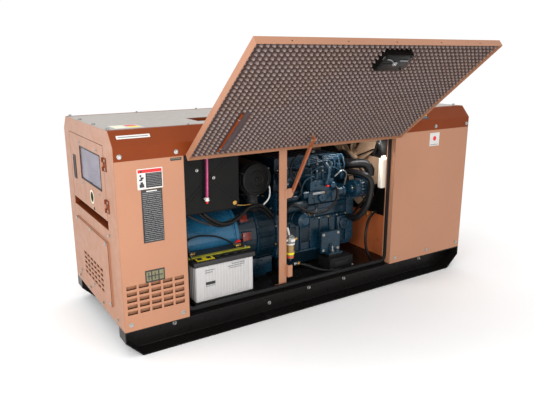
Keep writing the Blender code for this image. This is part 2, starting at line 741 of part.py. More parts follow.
def door_pan():
    """A sheet pan with its hinge leaves and middle knuckles welded to the outer face."""
    left = DOORWAY_LEFT + DOOR_CLEARANCE
    right = DOORWAY_RIGHT - DOOR_CLEARANCE
    pan = box((left, 0, DOOR_BOTTOM), (right, DOOR_DEPTH, DOOR_TOP))
    pan = carve(pan, box((left + SHEET, SHEET, DOOR_BOTTOM + SHEET),
                         (right - SHEET, DOOR_DEPTH + 0.01, DOOR_TOP - SHEET)))
    third = HINGE_WIDTH / 3
    parts = []
    for place in HINGE_PLACES:
        start = place + third
        parts.append(box((place, -SHEET, DOOR_TOP - HINGE_LEAF), (place + HINGE_WIDTH, SHEET / 2,
                                                                  DOOR_TOP - 0.004)))
        parts.append(box((start, -HINGE_OUT, HINGE_Z - 0.016), (start + third - 0.0005, -SHEET / 2,
                                                                HINGE_Z - HINGE_PIN)))
        parts.append(cylinder("x", (start + 0.0005, -HINGE_OUT, HINGE_Z), third - 0.001,
                              HINGE_KNUCKLE, 12))
    pan = fuse(pan, *parts)
    bores = [cylinder("x", (place + third - 0.01, -HINGE_OUT, HINGE_Z), third + 0.02,
                      HINGE_PIN + 0.0006, 12) for place in HINGE_PLACES]
    return carve(pan, *bores)


def foam_sheet(low_z, high_z, cutters):
    left = DOORWAY_LEFT + DOOR_CLEARANCE + SHEET + 0.001
    right = DOORWAY_RIGHT - DOOR_CLEARANCE - SHEET - 0.001
    front = SHEET + GAP
    return carve(box((left, front, low_z), (right, front + FOAM_DEPTH, high_z)), *cutters)


def make_front_door(root, door):
    for side, place in zip(("left", "right"), HINGE_PLACES):
        keep(fixed_hinge(place, -GAP), "door_hinge_" + side, "black_steel", root)

    pivot_z = HINGE_Z - STAY_PIVOT_DROP
    pivot_y = STAY_PIVOT_IN
    pan = door_pan()
    tab_right = STAY_PIVOT_X + 0.006
    tab = box((STAY_PIVOT_X, SHEET / 2, pivot_z - 0.012), (tab_right, pivot_y + 0.010, pivot_z + 0.012))
    bolt = cylinder("x", (STAY_PIVOT_X - 0.017, pivot_y, pivot_z), 0.030, STAY_BOLT, 12)
    head = cylinder("x", (STAY_PIVOT_X - 0.021, pivot_y, pivot_z), 0.005, 0.009, 6)
    nut = cylinder("x", (tab_right - 0.001, pivot_y, pivot_z), 0.008, 0.009, 6)
    pan = fuse(pan, tab, bolt, head, nut)
    latch_right = LATCH_X + LATCH_WIDTH
    latch_top = LATCH_Z + LATCH_HEIGHT
    inset = LATCH_EDGE
    pan = carve(pan, box((LATCH_X + inset, -0.01, LATCH_Z + inset),
                         (latch_right - inset, SHEET + 0.01, latch_top - inset)))
    keep(pan, "door_skin", "panel_paint", door)

    bottom = DOOR_BOTTOM + SHEET + 0.001
    top = DOOR_TOP - SHEET - 0.001
    around = 0.001
    latch_hole = box((LATCH_X - around, -0.01, LATCH_Z - around),
                     (latch_right + around, DOOR_DEPTH + 0.03, latch_top + around))
    tab_hole = box((STAY_PIVOT_X - 0.002, -0.01, pivot_z - 0.014),
                   (tab_right + 0.002, DOOR_DEPTH + 0.03, pivot_z + 0.014))
    keep(foam_sheet(FOAM_SEAM_Z + 0.001, top, [tab_hole]), "door_foam_upper", "foam", door)
    keep(foam_sheet(bottom, FOAM_SEAM_Z - 0.001, [latch_hole]), "door_foam_lower", "foam", door)
    make_latch(door, inset)
    make_stay(door, pivot_y, pivot_z)


def make_latch(door, inset):
    """The latch box fills a hole in the skin; its turning handle and sliding bolt are separate."""
    right = LATCH_X + LATCH_WIDTH
    top = LATCH_Z + LATCH_HEIGHT
    inner = DOOR_DEPTH + LATCH_DEPTH
    middle_x = LATCH_X + LATCH_WIDTH / 2
    middle_z = LATCH_Z + LATCH_HEIGHT / 2
    body = box((LATCH_X, SHEET + GAP, LATCH_Z), (right, inner, top))
    edge = inset + 0.001
    body = fuse(body, box((LATCH_X + edge, 0, LATCH_Z + edge), (right - edge, SHEET * 2, top - edge)))
    cup = box((LATCH_X + edge + SHEET, -0.01, LATCH_Z + edge + SHEET),
              (right - edge - SHEET, 0.018, top - edge - SHEET))
    spindle = cylinder("y", (middle_x, 0.01, middle_z), 0.05, 0.0085, 16)
    channel_y = inner - BOLT_THICK - 0.002
    low_z = middle_z - BOLT_BELOW - BOLT_HEIGHT
    channel = box((LATCH_X - 0.01, channel_y - 0.001, low_z - 0.001),
                  (middle_x + 0.02, channel_y + BOLT_THICK + 0.001, low_z + BOLT_HEIGHT + 0.001))
    keep(carve(body, cup, spindle, channel), "latch_housing", "black_steel", door)

    origin = (middle_x, 0.0, middle_z)
    half_length = HANDLE_LENGTH / 2
    half_width = HANDLE_WIDTH / 2
    handle = box((middle_x - half_length, 0.003, middle_z - half_width),
                 (middle_x + half_length, 0.011, middle_z + half_width))
    handle = fuse(handle, cylinder("y", (middle_x, 0.004, middle_z), 0.012, HANDLE_HUB, 20),
                  cylinder("y", (middle_x, 0.012, middle_z), inner + 0.002 - 0.012, 0.008, 16))
    keep(handle, "door_handle", "black_steel", door, origin)

    bolt = box((LATCH_X + 0.001, channel_y, low_z), (middle_x, channel_y + BOLT_THICK,
                                                     low_z + BOLT_HEIGHT))
    keep(bolt, "latch_bolt", "zinc", door, (LATCH_X + 0.001, channel_y, low_z))


def make_stay(door, pivot_y, pivot_z):
    """The folded bar that holds the door open, hung from the bolt on the door."""
    pivot = joint_empty("stay_pivot", (STAY_PIVOT_X, pivot_y, pivot_z), door)
    pivot.rotation_euler.x = math.radians(DOOR_OPEN_ANGLE + STAY_ANGLE)
    right = STAY_PIVOT_X - 0.001
    left = right - STAY_THICK
    half = STAY_WIDTH / 2
    foot = STAY_LENGTH
    plate = box((left, pivot_y - half, pivot_z - foot), (right, pivot_y + half, pivot_z + half))
    flange = box((left - STAY_FLANGE, pivot_y - half, pivot_z - foot),
                 (right, pivot_y - half + STAY_THICK, pivot_z - 0.035))
    stay = fuse(plate, flange)
    hole = cylinder("x", (left - 0.01, pivot_y, pivot_z), 0.03, STAY_BOLT + 0.0006, 12)
    stay = carve(stay, hole)
    stay.data.transform(Matrix.Translation(stay.location))
    stay.location = (0, 0, 0)
    for vertex in stay.data.vertices:
        below = max(0.0, pivot_z - 0.035 - vertex.co.z) / (foot - 0.035)
        vertex.co.x -= STAY_SLANT * below
    keep(stay, "door_stay", "trim_paint", pivot, (STAY_PIVOT_X, pivot_y, pivot_z))


def make_rear_door(root):
    """A closed door like the front one, mirrored to the back."""
    pan = door_pan()
    mirror_to_rear(pan)
    keep(pan, "rear_door", "panel_paint", root, (LENGTH / 2, DEPTH + HINGE_OUT, HINGE_Z))


# ---- control end ----
def make_control_end(root):
    back = RECESS_FRONT + RECESS_WIDTH
    start = SHEET + GAP
    depth = CONTROL_BOX_DEPTH
    shell = box((start, RECESS_FRONT - SHEET, RECESS_BOTTOM - SHEET),
                (start + depth, back + SHEET, RECESS_TOP + SHEET))
    inside = box((-0.01, RECESS_FRONT, RECESS_BOTTOM), (start + depth - SHEET, back, RECESS_TOP))
    shell = carve(shell, inside)
    panel = box((PANEL_X, RECESS_FRONT - SHEET / 2, CONTROL_DOOR_BOTTOM - 0.004),
                (PANEL_X + SHEET, back + SHEET / 2, RECESS_TOP + SHEET / 2))
    shell = fuse(shell, panel)
    key_hole = cylinder("x", (PANEL_X - 0.02, KEY_Y, KEY_Z), 0.05, 0.0085, 16)
    keep(carve(shell, key_hole), "control_box", "trim_paint", root)

    breaker = box((PANEL_X - GAP - 0.034, BREAKER_Y - 0.045, BREAKER_Z - 0.055),
                  (PANEL_X - GAP, BREAKER_Y + 0.045, BREAKER_Z + 0.055))
    slot = box((PANEL_X - 0.05, BREAKER_Y - 0.0085, BREAKER_Z - 0.022),
               (PANEL_X - 0.008, BREAKER_Y + 0.0085, BREAKER_Z + 0.022))
    keep(carve(breaker, slot), "breaker_body", "black_steel", root)
    lever_x = PANEL_X - 0.020
    lever = fuse(box((PANEL_X - 0.048, BREAKER_Y - 0.006, BREAKER_Z - 0.004),
                     (lever_x, BREAKER_Y + 0.006, BREAKER_Z + 0.004)),
                 cylinder("y", (lever_x, BREAKER_Y - 0.0075, BREAKER_Z), 0.015, 0.009, 16))
    keep(lever, "breaker_lever", "battery_white", root, (lever_x, BREAKER_Y, BREAKER_Z))

    key = fuse(cylinder("x", (PANEL_X - 0.016, KEY_Y, KEY_Z), 0.034, 0.0078, 16),
               cylinder("x", (PANEL_X - 0.016, KEY_Y, KEY_Z), 0.0145, 0.014, 20),
               box((PANEL_X - 0.034, KEY_Y - 0.0015, KEY_Z - 0.011),
                   (PANEL_X - 0.015, KEY_Y + 0.0015, KEY_Z + 0.011)))
    keep(key, "key_switch", "zinc", root, (PANEL_X, KEY_Y, KEY_Z))
    make_control_door(root, back)


def make_control_door(root, back):
    front_y = RECESS_FRONT + CONTROL_DOOR_MARGIN
    back_y = back - CONTROL_DOOR_MARGIN
    top = RECESS_TOP - 0.003
    door = box((0, front_y, CONTROL_DOOR_BOTTOM), (CONTROL_DOOR_DEPTH, back_y, top))
    hollow = box((SHEET, front_y + SHEET, CONTROL_DOOR_BOTTOM + SHEET),
                 (CONTROL_DOOR_DEPTH + 0.01, back_y - SHEET, top - SHEET))
    window = box((-0.01, WINDOW_FRONT, WINDOW_BOTTOM),
                 (0.02, WINDOW_FRONT + WINDOW_WIDTH, WINDOW_BOTTOM + WINDOW_HEIGHT))
    handle_hole = box((-0.01, HANDLE_Y - 0.0185, HANDLE_Z - 0.0585),
                      (0.02, HANDLE_Y + 0.0185, HANDLE_Z + 0.0585))
    door = carve(door, hollow, window, handle_hole)
    leaves = []
    for low_z in CONTROL_HINGE_PLACES:
        third = CONTROL_HINGE_HEIGHT / 3
        leaves.append(box((-SHEET, CONTROL_HINGE_Y + 0.008, low_z + third + 0.0005),
                          (SHEET / 2, CONTROL_HINGE_Y + 0.050, low_z + 2 * third - 0.0005)))
        leaves.append(cylinder("z", (-CONTROL_HINGE_OUT, CONTROL_HINGE_Y, low_z + third + 0.0005),
                               third - 0.001, 0.0055, 12))
        leaves.append(box((-CONTROL_HINGE_OUT, CONTROL_HINGE_Y + 0.0036, low_z + third + 0.0005),
                          (-SHEET / 2, CONTROL_HINGE_Y + 0.012, low_z + 2 * third - 0.0005)))
    door = fuse(door, *leaves)
    bores = [cylinder("z", (-CONTROL_HINGE_OUT, CONTROL_HINGE_Y, low_z), CONTROL_HINGE_HEIGHT,
                      0.0034, 12) for low_z in CONTROL_HINGE_PLACES]
    origin = (-CONTROL_HINGE_OUT, CONTROL_HINGE_Y, CONTROL_DOOR_BOTTOM)
    keep(carve(door, *bores), "control_door", "panel_paint", root, origin)

    pane = box((SHEET + GAP, WINDOW_FRONT - 0.012, WINDOW_BOTTOM - 0.012),
               (SHEET + GAP + 0.004, WINDOW_FRONT + WINDOW_WIDTH + 0.012,
                WINDOW_BOTTOM + WINDOW_HEIGHT + 0.012))
    keep(pane, "control_window", "window", root, origin)

    plate = box((-0.003, HANDLE_Y - 0.018, HANDLE_Z - 0.058), (0.014, HANDLE_Y + 0.018,
                                                               HANDLE_Z + 0.058))
    rim = box((-0.003 - GAP, HANDLE_Y - 0.025, HANDLE_Z - 0.068),
              (-GAP, HANDLE_Y + 0.025, HANDLE_Z + 0.068))
    cup = box((-0.01, HANDLE_Y - 0.0145, HANDLE_Z - 0.054), (0.0115, HANDLE_Y + 0.0145,
                                                             HANDLE_Z + 0.054))
    keep(carve(fuse(rim, plate), cup), "control_handle_cup", "rubber", root, origin)
    grip = box((-0.002, HANDLE_Y - 0.013, HANDLE_Z - 0.052), (0.001, HANDLE_Y + 0.012,
                                                              HANDLE_Z + 0.052))
    grip = fuse(grip, cylinder("z", (0.002, HANDLE_Y + 0.0095, HANDLE_Z - 0.052), 0.104, 0.0035, 12))
    keep(grip, "control_handle", "rubber", root, (0.002, HANDLE_Y + 0.0095, HANDLE_Z))

    for side, low_z in zip(("lower", "upper"), CONTROL_HINGE_PLACES):
        third = CONTROL_HINGE_HEIGHT / 3
        top_z = low_z + CONTROL_HINGE_HEIGHT
        leaf = box((-SHEET - GAP, CONTROL_HINGE_Y - 0.042, low_z), (-GAP, CONTROL_HINGE_Y - 0.007,
                                                                    top_z))
        for start in (low_z, low_z + 2 * third):
            leaf = fuse(leaf, cylinder("z", (-CONTROL_HINGE_OUT, CONTROL_HINGE_Y, start), third,
                                       0.0055, 12),
                        box((-CONTROL_HINGE_OUT, CONTROL_HINGE_Y - 0.012, start),
                            (-GAP - 0.0005, CONTROL_HINGE_Y, start + third)))
        pin = cylinder("z", (-CONTROL_HINGE_OUT, CONTROL_HINGE_Y, low_z + 0.001),
                       CONTROL_HINGE_HEIGHT - 0.002, 0.0028, 12)
        keep(fuse(leaf, pin), "control_hinge_" + side, "trim_paint", root)


# ---- fuel and battery ----
def make_fuel(root):
    right = TANK_LEFT + TANK_WIDTH
    back = TANK_FRONT + TANK_DEPTH
    top = TANK_BOTTOM + TANK_HEIGHT
    outline = rounded((TANK_LEFT, TANK_BOTTOM), (right, top), 0.04, 4)
    tank = prism("y", outline, TANK_FRONT, back)
    seam_y = TANK_FRONT + 0.012
    seam = prism("y", rounded((TANK_LEFT - 0.007, TANK_BOTTOM - 0.007), (right + 0.007, top + 0.007),
                              0.047, 4), seam_y, seam_y + 0.004)
    neck_top = BODY_HEIGHT - POCKET_DEPTH + 0.016
    neck = cylinder("z", (NECK_X, NECK_Y, top - 0.01), neck_top - top + 0.01, NECK_RADIUS)
    tank = fuse(tank, seam, neck)
    hangers = [box((TANK_LEFT + 0.03, y, top - 0.005), (TANK_LEFT + 0.07, y + 0.03,
                                                        BODY_HEIGHT - SHEET - GAP))
               for y in (TANK_FRONT + 0.02, back - 0.05)]
    tank = fuse(tank, *hangers)
    wall = TANK_WALL
    inside = prism("y", rounded((TANK_LEFT + wall, TANK_BOTTOM + wall), (right - wall, top - wall),
                                0.04 - wall, 4), TANK_FRONT + wall, back - wall)
    bore = cylinder("z", (NECK_X, NECK_Y, top - 0.02), neck_top - top + 0.03, NECK_RADIUS - 0.005)
    keep(carve(tank, inside, bore), "fuel_tank", "black_steel", root)

    cap_low = neck_top - 0.012
    cap = cylinder("z", (NECK_X, NECK_Y, cap_low), CAP_HEIGHT, CAP_RADIUS, 24)
    cap = carve(cap, cylinder("z", (NECK_X, NECK_Y, cap_low - 0.01), 0.0225, NECK_RADIUS + 0.0006))
    keep(cap, "fuel_cap", "zinc", root, (NECK_X, NECK_Y, cap_low))


def make_battery(root):
    right = BATTERY_LEFT + BATTERY_LENGTH
    back = BATTERY_FRONT + BATTERY_DEPTH
    top = BATTERY_BOTTOM + BATTERY_HEIGHT
    case = box((BATTERY_LEFT, BATTERY_FRONT, BATTERY_BOTTOM), (right, back, top))
    keep(case, "battery_case", "battery_white", root)
    over = LID_OVERHANG
    lid = box((BATTERY_LEFT - over, BATTERY_FRONT - over, top + GAP), (right + over, back + over,
                                                                      top + GAP + BATTERY_LID))
    posts = [cylinder("z", (x, BATTERY_FRONT + 0.12, top + BATTERY_LID - 0.002), 0.018, 0.009, 12)
             for x in (BATTERY_LEFT + 0.035, right - 0.035)]
    keep(fuse(lid, *posts), "battery_lid", "battery_lid", root)
    bar_y = BATTERY_FRONT + 0.06
    bar_low = top + BATTERY_LID + 2 * GAP
    past = over + 0.007
    bar = box((BATTERY_LEFT - past, bar_y, bar_low), (right + past, bar_y + 0.022, bar_low + 0.006))
    rods = [box((x, bar_y + 0.008, BATTERY_BOTTOM + GAP), (x + 0.005, bar_y + 0.014, bar_low + 0.003))
            for x in (BATTERY_LEFT - over - 0.0055, right + over + 0.0005)]
    keep(fuse(bar, *rods), "battery_clamp", "yellow_paint", root)


# ---- power train ----
def shaft_bore(start, length, radius=SHAFT_RADIUS + RUNNING_FIT):
    return cylinder("x", (start, SHAFT_Y, SHAFT_Z), length, radius)


def make_alternator(root):
    right = ALTERNATOR_LEFT + ALTERNATOR_LENGTH
    body = cylinder("x", (ALTERNATOR_LEFT, SHAFT_Y, SHAFT_Z), ALTERNATOR_LENGTH, ALTERNATOR_RADIUS, 48)
    collar = cylinder("x", (right - COLLAR_LENGTH, SHAFT_Y, SHAFT_Z), COLLAR_LENGTH,
                      ALTERNATOR_RADIUS + COLLAR_STEP, 48)
    feet = [box((x, SHAFT_Y - FOOT_HALF, GAP), (x + FOOT_LENGTH, SHAFT_Y + FOOT_HALF, FOOT_HEIGHT))
            for x in (ALTERNATOR_LEFT + 0.04, right - 0.11)]
    body = fuse(body, collar, *feet)
    cavity = cylinder("x", (ALTERNATOR_LEFT + ALTERNATOR_END, SHAFT_Y, SHAFT_Z), ALTERNATOR_LENGTH,
                      ALTERNATOR_RADIUS - ALTERNATOR_WALL, 48)
    body = carve(body, cavity, shaft_bore(ALTERNATOR_LEFT - 0.01, 0.05))
    keep(body, "alternator_housing", "alternator_paint", root)


def make_bell(root):
    """The adaptor and flywheel housing between the alternator and the engine."""
    left = ALTERNATOR_LEFT + ALTERNATOR_LENGTH + GAP
    body = cone("x", (left, SHAFT_Y, SHAFT_Z), BELL_CONE, ALTERNATOR_RADIUS, BELL_RADIUS, 40)
    body = fuse(body, cylinder("x", (left + BELL_CONE - 0.001, SHAFT_Y, SHAFT_Z),
                               BELL_LENGTH - BELL_CONE + 0.001, BELL_RADIUS, 40))
    foot_left = left + BELL_FOOT_START
    foot = box((foot_left, SHAFT_Y - BELL_FOOT_HALF, GAP),
               (foot_left + BELL_FOOT_LENGTH, SHAFT_Y + BELL_FOOT_HALF, BELL_FOOT_HEIGHT))
    body = fuse(body, foot)
    hollow = cylinder("x", (left - 0.01, SHAFT_Y, SHAFT_Z), BELL_LENGTH - 0.02,
                      ALTERNATOR_RADIUS - ALTERNATOR_WALL, 40)
    keep(carve(body, hollow, shaft_bore(left + BELL_CONE, BELL_LENGTH)), "flywheel_housing",
         "engine_paint", root)


def make_engine(root):
    make_block(root)
    make_head(root)
    make_sump(root)
    make_oil_filter(root)
    make_injection_pump(root)
    charger_left = BELT_LEFT - 0.02 - CHARGER_LENGTH
    charger = cylinder("x", (charger_left, CHARGER_Y, CHARGER_Z), CHARGER_LENGTH, CHARGER_RADIUS, 28)
    bore = cylinder("x", (BELT_LEFT - 0.05, CHARGER_Y, CHARGER_Z), 0.05, CHARGER_SHAFT + RUNNING_FIT, 16)
    keep(carve(charger, bore), "charging_alternator", "engine_paint", root)


def make_block(root):
    """The block with the timing case, the water pump and the bracket of the engine's front foot."""
    left = BLOCK_LEFT
    right = BLOCK_RIGHT
    front = SHAFT_Y - BLOCK_HALF
    back = SHAFT_Y + BLOCK_HALF
    block = box((left, front, BLOCK_BOTTOM), (right, back, BLOCK_TOP))
    gear_case = box((right - GEAR_CASE_LENGTH, SHAFT_Y - GEAR_CASE_HALF, GEAR_CASE_BOTTOM),
                    (right, SHAFT_Y + GEAR_CASE_HALF, GEAR_CASE_TOP))
    pump = cylinder("x", (right - 0.01, SHAFT_Y, FAN_Z), WATER_PUMP_LENGTH, WATER_PUMP_RADIUS)
    pump_base = box((right - 0.01, SHAFT_Y - 0.05, 0.40), (right + 0.02, SHAFT_Y + 0.05, FAN_Z))
    plate_left = left + BRACKET_START
    bracket = box((plate_left, front - 0.06, BRACKET_BOTTOM),
                  (plate_left + BRACKET_WIDTH, front - 0.04, BRACKET_TOP))
    arm = box((plate_left + 0.03, front - 0.05, 0.14), (plate_left + 0.11, front + 0.01, 0.22))
    foot = box((plate_left + 0.025, front - 0.11, BRACKET_BOTTOM),
               (plate_left + 0.135, front - 0.045, BRACKET_BOTTOM + 0.008))
    block = fuse(block, gear_case, pump, pump_base, bracket, arm, foot)
    fan_bore = cylinder("x", (right - 0.005, SHAFT_Y, FAN_Z), 0.09, FAN_SHAFT + RUNNING_FIT)
    wall = CASTING_WALL
    crankcase = box((left + wall, front + wall, BLOCK_BOTTOM - 0.01),
                    (right - GEAR_CASE_LENGTH - wall, back - wall, CRANKCASE_TOP))
    block = carve(block, shaft_bore(left - 0.01, BLOCK_LENGTH + 0.02), fan_bore, crankcase)
    keep(block, "engine_block", "engine_paint", root)


def make_head(root):
    """The cylinder head with its cover and the exhaust manifold at the back."""
    left = BLOCK_LEFT + 0.02
    right = BLOCK_RIGHT - 0.02
    front = SHAFT_Y - HEAD_FRONT
    back = SHAFT_Y + HEAD_BACK
    head = box((left, front, BLOCK_TOP + GAP), (right, back, HEAD_TOP))
    cover = box((left + 0.03, SHAFT_Y - COVER_HALF, HEAD_TOP - 0.005),
                (right - 0.06, SHAFT_Y + COVER_HALF, COVER_TOP))
    manifold = box((left + 0.06, back - 0.01, MANIFOLD_BOTTOM),
                   (right - 0.08, SHAFT_Y + BLOCK_HALF, MANIFOLD_TOP))
    head = fuse(head, cover, manifold)
    wall = CASTING_WALL
    hollow = box((left + wall, front + wall, BLOCK_TOP - 0.01),
                 (right - wall, back - wall, HEAD_TOP - 0.03))
    keep(carve(head, hollow), "cylinder_head", "engine_paint", root)


def make_sump(root):
    left = BLOCK_LEFT + SUMP_START
    right = left + SUMP_LENGTH
    front = SHAFT_Y - SUMP_HALF
    back = SHAFT_Y + SUMP_HALF
    sump = box((left, front, SUMP_BOTTOM), (right, back, BLOCK_BOTTOM - GAP))
    well = box((left + SHEET, front + SHEET, SUMP_BOTTOM + SHEET),
               (right - SHEET, back - SHEET, BLOCK_BOTTOM + 0.01))
    keep(carve(sump, well), "oil_pan", "engine_paint", root)


def make_oil_filter(root):
    x = BLOCK_LEFT + FILTER_START
    side = SHAFT_Y - BLOCK_HALF - GAP
    can = cylinder("y", (x, side - FILTER_LENGTH, FILTER_Z), FILTER_LENGTH, FILTER_RADIUS, 24)
    nose = cone("y", (x, side - FILTER_LENGTH - 0.013, FILTER_Z), 0.015, 0.028, FILTER_RADIUS, 24)
    keep(fuse(can, nose), "oil_filter", "engine_paint", root)


def make_injection_pump(root):
    """The pump body, the governor and drive ends, and one delivery tower for each cylinder."""
    left = BLOCK_LEFT + INJECTION_START
    side = SHAFT_Y - BLOCK_HALF - GAP
    body = box((left, side - INJECTION_DEPTH, INJECTION_BOTTOM), (left + INJECTION_LENGTH, side,
                                                                  INJECTION_TOP))
    upper = box((left + 0.02, side - INJECTION_DEPTH + 0.01, INJECTION_TOP - 0.015),
                (left + 0.20, side - 0.005, INJECTION_HEAD_TOP))
    drive = cylinder("x", (left + INJECTION_LENGTH - 0.01, side - 0.04, 0.49), 0.05, 0.034, 20)
    governor = cylinder("x", (left - 0.03, side - 0.042, 0.50), 0.04, 0.028, 20)
    towers = [cylinder("z", (left + 0.045 * (step + 1), side - 0.035, INJECTION_HEAD_TOP - 0.005),
                       0.045, 0.009, 10) for step in range(CYLINDERS)]
    keep(fuse(body, upper, drive, governor, *towers), "injection_pump", "engine_paint", root)


def belt_outline(extra):
    """The loop round the three pulleys, grown by extra: the hull of points on the three circles."""
    points = []
    circles = ((SHAFT_Y, SHAFT_Z, CRANK_PULLEY), (SHAFT_Y, FAN_Z, FAN_PULLEY),
               (CHARGER_Y, CHARGER_Z, CHARGER_PULLEY))
    for y, z, radius in circles:
        for step in range(32):
            angle = math.tau * step / 32
            reach = (radius + extra) / math.cos(math.pi / 32)
            points.append((y + reach * math.cos(angle), z + reach * math.sin(angle)))
    return hull(points)


def hull(points):
    """The convex outline round flat points, anticlockwise."""
    points = sorted(points)
    sides = []
    for ordered in (points, points[::-1]):
        side = []
        for point in ordered:
            while len(side) > 1 and turn(side[-2], side[-1], point) <= 1e-12:
                side.pop()
            side.append(point)
        sides.append(side[:-1])
    return sides[0] + sides[1]


def turn(a, b, c):
    return (b[0] - a[0]) * (c[1] - a[1]) - (b[1] - a[1]) * (c[0] - a[0])


def make_rotating(root):
    flywheel_left = ALTERNATOR_LEFT + ALTERNATOR_LENGTH + 0.14
    pulley_left = BELT_LEFT - PULLEY_EDGE
    pulley_width = BELT_WIDTH + 2 * PULLEY_EDGE
    centre = (SHAFT_Y, SHAFT_Z)
    shaft = cylinder("x", (ALTERNATOR_LEFT - 0.02, *centre), pulley_left - ALTERNATOR_LEFT + 0.03,
                     SHAFT_RADIUS)
    wheel = cylinder("x", (flywheel_left, *centre), FLYWHEEL_LENGTH,
                     ALTERNATOR_RADIUS - ALTERNATOR_WALL - 0.008, 40)
    pulley = cylinder("x", (pulley_left, *centre), pulley_width, CRANK_PULLEY, 32)
    origin = (ALTERNATOR_LEFT, *centre)
    keep(fuse(shaft, wheel, pulley), "crankshaft", "black_steel", root, origin)

    rotor_left = ALTERNATOR_LEFT + ROTOR_START
    rotor = cylinder("x", (rotor_left, *centre), ROTOR_LENGTH, ALTERNATOR_RADIUS - ROTOR_SHRINK, 40)
    rotor = carve(rotor, shaft_bore(rotor_left - 0.01, ROTOR_LENGTH + 0.02, SHAFT_RADIUS + GAP))
    keep(rotor, "alternator_rotor", "aluminium", root, origin)

    make_fan(root, pulley_left, pulley_width)

    pulley = cylinder("x", (pulley_left, CHARGER_Y, CHARGER_Z), pulley_width, CHARGER_PULLEY, 24)
    shaft = cylinder("x", (BELT_LEFT - 0.045, CHARGER_Y, CHARGER_Z), 0.05, CHARGER_SHAFT, 16)
    keep(fuse(pulley, shaft), "charging_pulley", "zinc", root, (pulley_left, CHARGER_Y, CHARGER_Z))

    clear = 0.0006
    belt = prism("x", belt_outline(clear + BELT_THICK), BELT_LEFT, BELT_LEFT + BELT_WIDTH)
    inner = prism("x", belt_outline(clear), BELT_LEFT - 0.01, BELT_LEFT + BELT_WIDTH + 0.01)
    keep(carve(belt, inner), "drive_belt", "rubber", root)


def make_fan(root, pulley_left, pulley_width):
    """The fan with its pulley and shaft: flat blades, each leaned about its own length."""
    pulley = cylinder("x", (pulley_left, SHAFT_Y, FAN_Z), pulley_width, FAN_PULLEY, 28)
    shaft_left = BLOCK_RIGHT + 0.002
    shaft = cylinder("x", (shaft_left, SHAFT_Y, FAN_Z), FAN_LEFT + 0.01 - shaft_left, FAN_SHAFT, 16)
    hub = cylinder("x", (FAN_LEFT, SHAFT_Y, FAN_Z), FAN_WIDTH, FAN_HUB, 28)
    parts = [pulley, shaft, hub]
    for step in range(FAN_BLADES):
        blade = box((-0.002, -FAN_BLADE_HALF, FAN_HUB - 0.012), (0.002, FAN_BLADE_HALF,
                                                                 FAN_RADIUS - 0.008))
        blade.data.transform(Matrix.Translation(blade.location))
        blade.location = (0, 0, 0)
        lean = Matrix.Rotation(math.radians(FAN_BLADE_LEAN), 4, "Z")
        spin = Matrix.Rotation(math.tau * step / FAN_BLADES, 4, "X")
        place = Matrix.Translation((FAN_LEFT + FAN_WIDTH / 2, SHAFT_Y, FAN_Z))
        blade.data.transform(place @ spin @ lean)
        parts.append(blade)
    keep(fuse(*parts), "fan", "fan_plastic", root, (FAN_LEFT, SHAFT_Y, FAN_Z))


def make_cooling(root):
    left = RADIATOR_LEFT
    front = SHAFT_Y - FAN_RADIUS - RADIATOR_SIDE
    back = SHAFT_Y + FAN_RADIUS + RADIATOR_SIDE
    bottom = FAN_Z - FAN_RADIUS - RADIATOR_OVER
    top = FAN_Z + FAN_RADIUS + RADIATOR_OVER
    centre = (SHAFT_Y, FAN_Z)
    plate = box((left - SHROUD_PLATE, front, bottom), (left - GAP, back, top))
    collar = cylinder("x", (FAN_LEFT, *centre), left - FAN_LEFT - 0.01, FAN_RADIUS + SHROUD_OUTER, 48)
    hole = cylinder("x", (FAN_LEFT - 0.01, *centre), left - FAN_LEFT + 0.02, FAN_RADIUS + SHROUD_INNER,
                    48)
    keep(carve(fuse(plate, collar), hole), "fan_shroud", "black_steel", root)

    core = box((left, front, bottom), (left + RADIATOR_DEPTH, back, top))
    neck = cylinder("z", (left + 0.04, SHAFT_Y, top - 0.005), BODY_HEIGHT - SHEET - 0.004 - top + 0.005,
                    RADIATOR_NECK, 16)
    keep(fuse(core, neck), "radiator", "black_steel", root)

    baffle_left = left - 0.018
    baffle = box((baffle_left, front, GAP), (baffle_left + SHEET, back, bottom - GAP))
    foot = box((baffle_left, front, GAP), (left + BAFFLE_FLANGE, back, GAP + SHEET))
    shelf = box((baffle_left, front, bottom - GAP - SHEET), (left + BAFFLE_FLANGE, back, bottom - GAP))
    keep(fuse(baffle, foot, shelf), "baffle_plate", "trim_paint", root)

    hose = [(BLOCK_RIGHT - 0.055, SHAFT_Y - 0.132, 0.60), (BLOCK_RIGHT - 0.055, SHAFT_Y - 0.15, 0.60),
            (BLOCK_RIGHT - 0.05, 0.22, 0.605), (BLOCK_RIGHT - 0.025, 0.125, 0.602),
            (BLOCK_RIGHT + 0.01, 0.088, 0.565), (BLOCK_RIGHT + 0.014, 0.085, 0.49),
            (BLOCK_RIGHT - 0.01, 0.095, 0.39), (BLOCK_RIGHT - 0.04, 0.150, 0.31),
            (BLOCK_RIGHT - 0.045, SHAFT_Y - 0.235, 0.30), (BLOCK_RIGHT - 0.045, SHAFT_Y - 0.212, 0.30)]
    keep(pipe(hose, HOSE_RADIUS), "radiator_hose", "rubber", root)

    tank = box((DOORWAY_RIGHT + COOLANT_LEFT, COOLANT_FRONT, COOLANT_BOTTOM),
               (DOORWAY_RIGHT + COOLANT_RIGHT, COOLANT_FRONT + COOLANT_DEPTH, COOLANT_TOP))
    keep(tank, "coolant_tank", "white_plastic", root)


def make_engine_mount(root):
    left = BLOCK_LEFT + STAND_START
    stand = box((left, STAND_FRONT, GAP), (left + STAND_LENGTH, STAND_BACK, STAND_TOP))
    pad_left = left + PAD_START
    pad = box((pad_left, PAD_FRONT, STAND_TOP - 0.001), (pad_left + PAD_LENGTH, PAD_BACK,
                                                         BRACKET_BOTTOM - GAP))
    keep(fuse(stand, pad), "engine_mount", "black_steel", root)


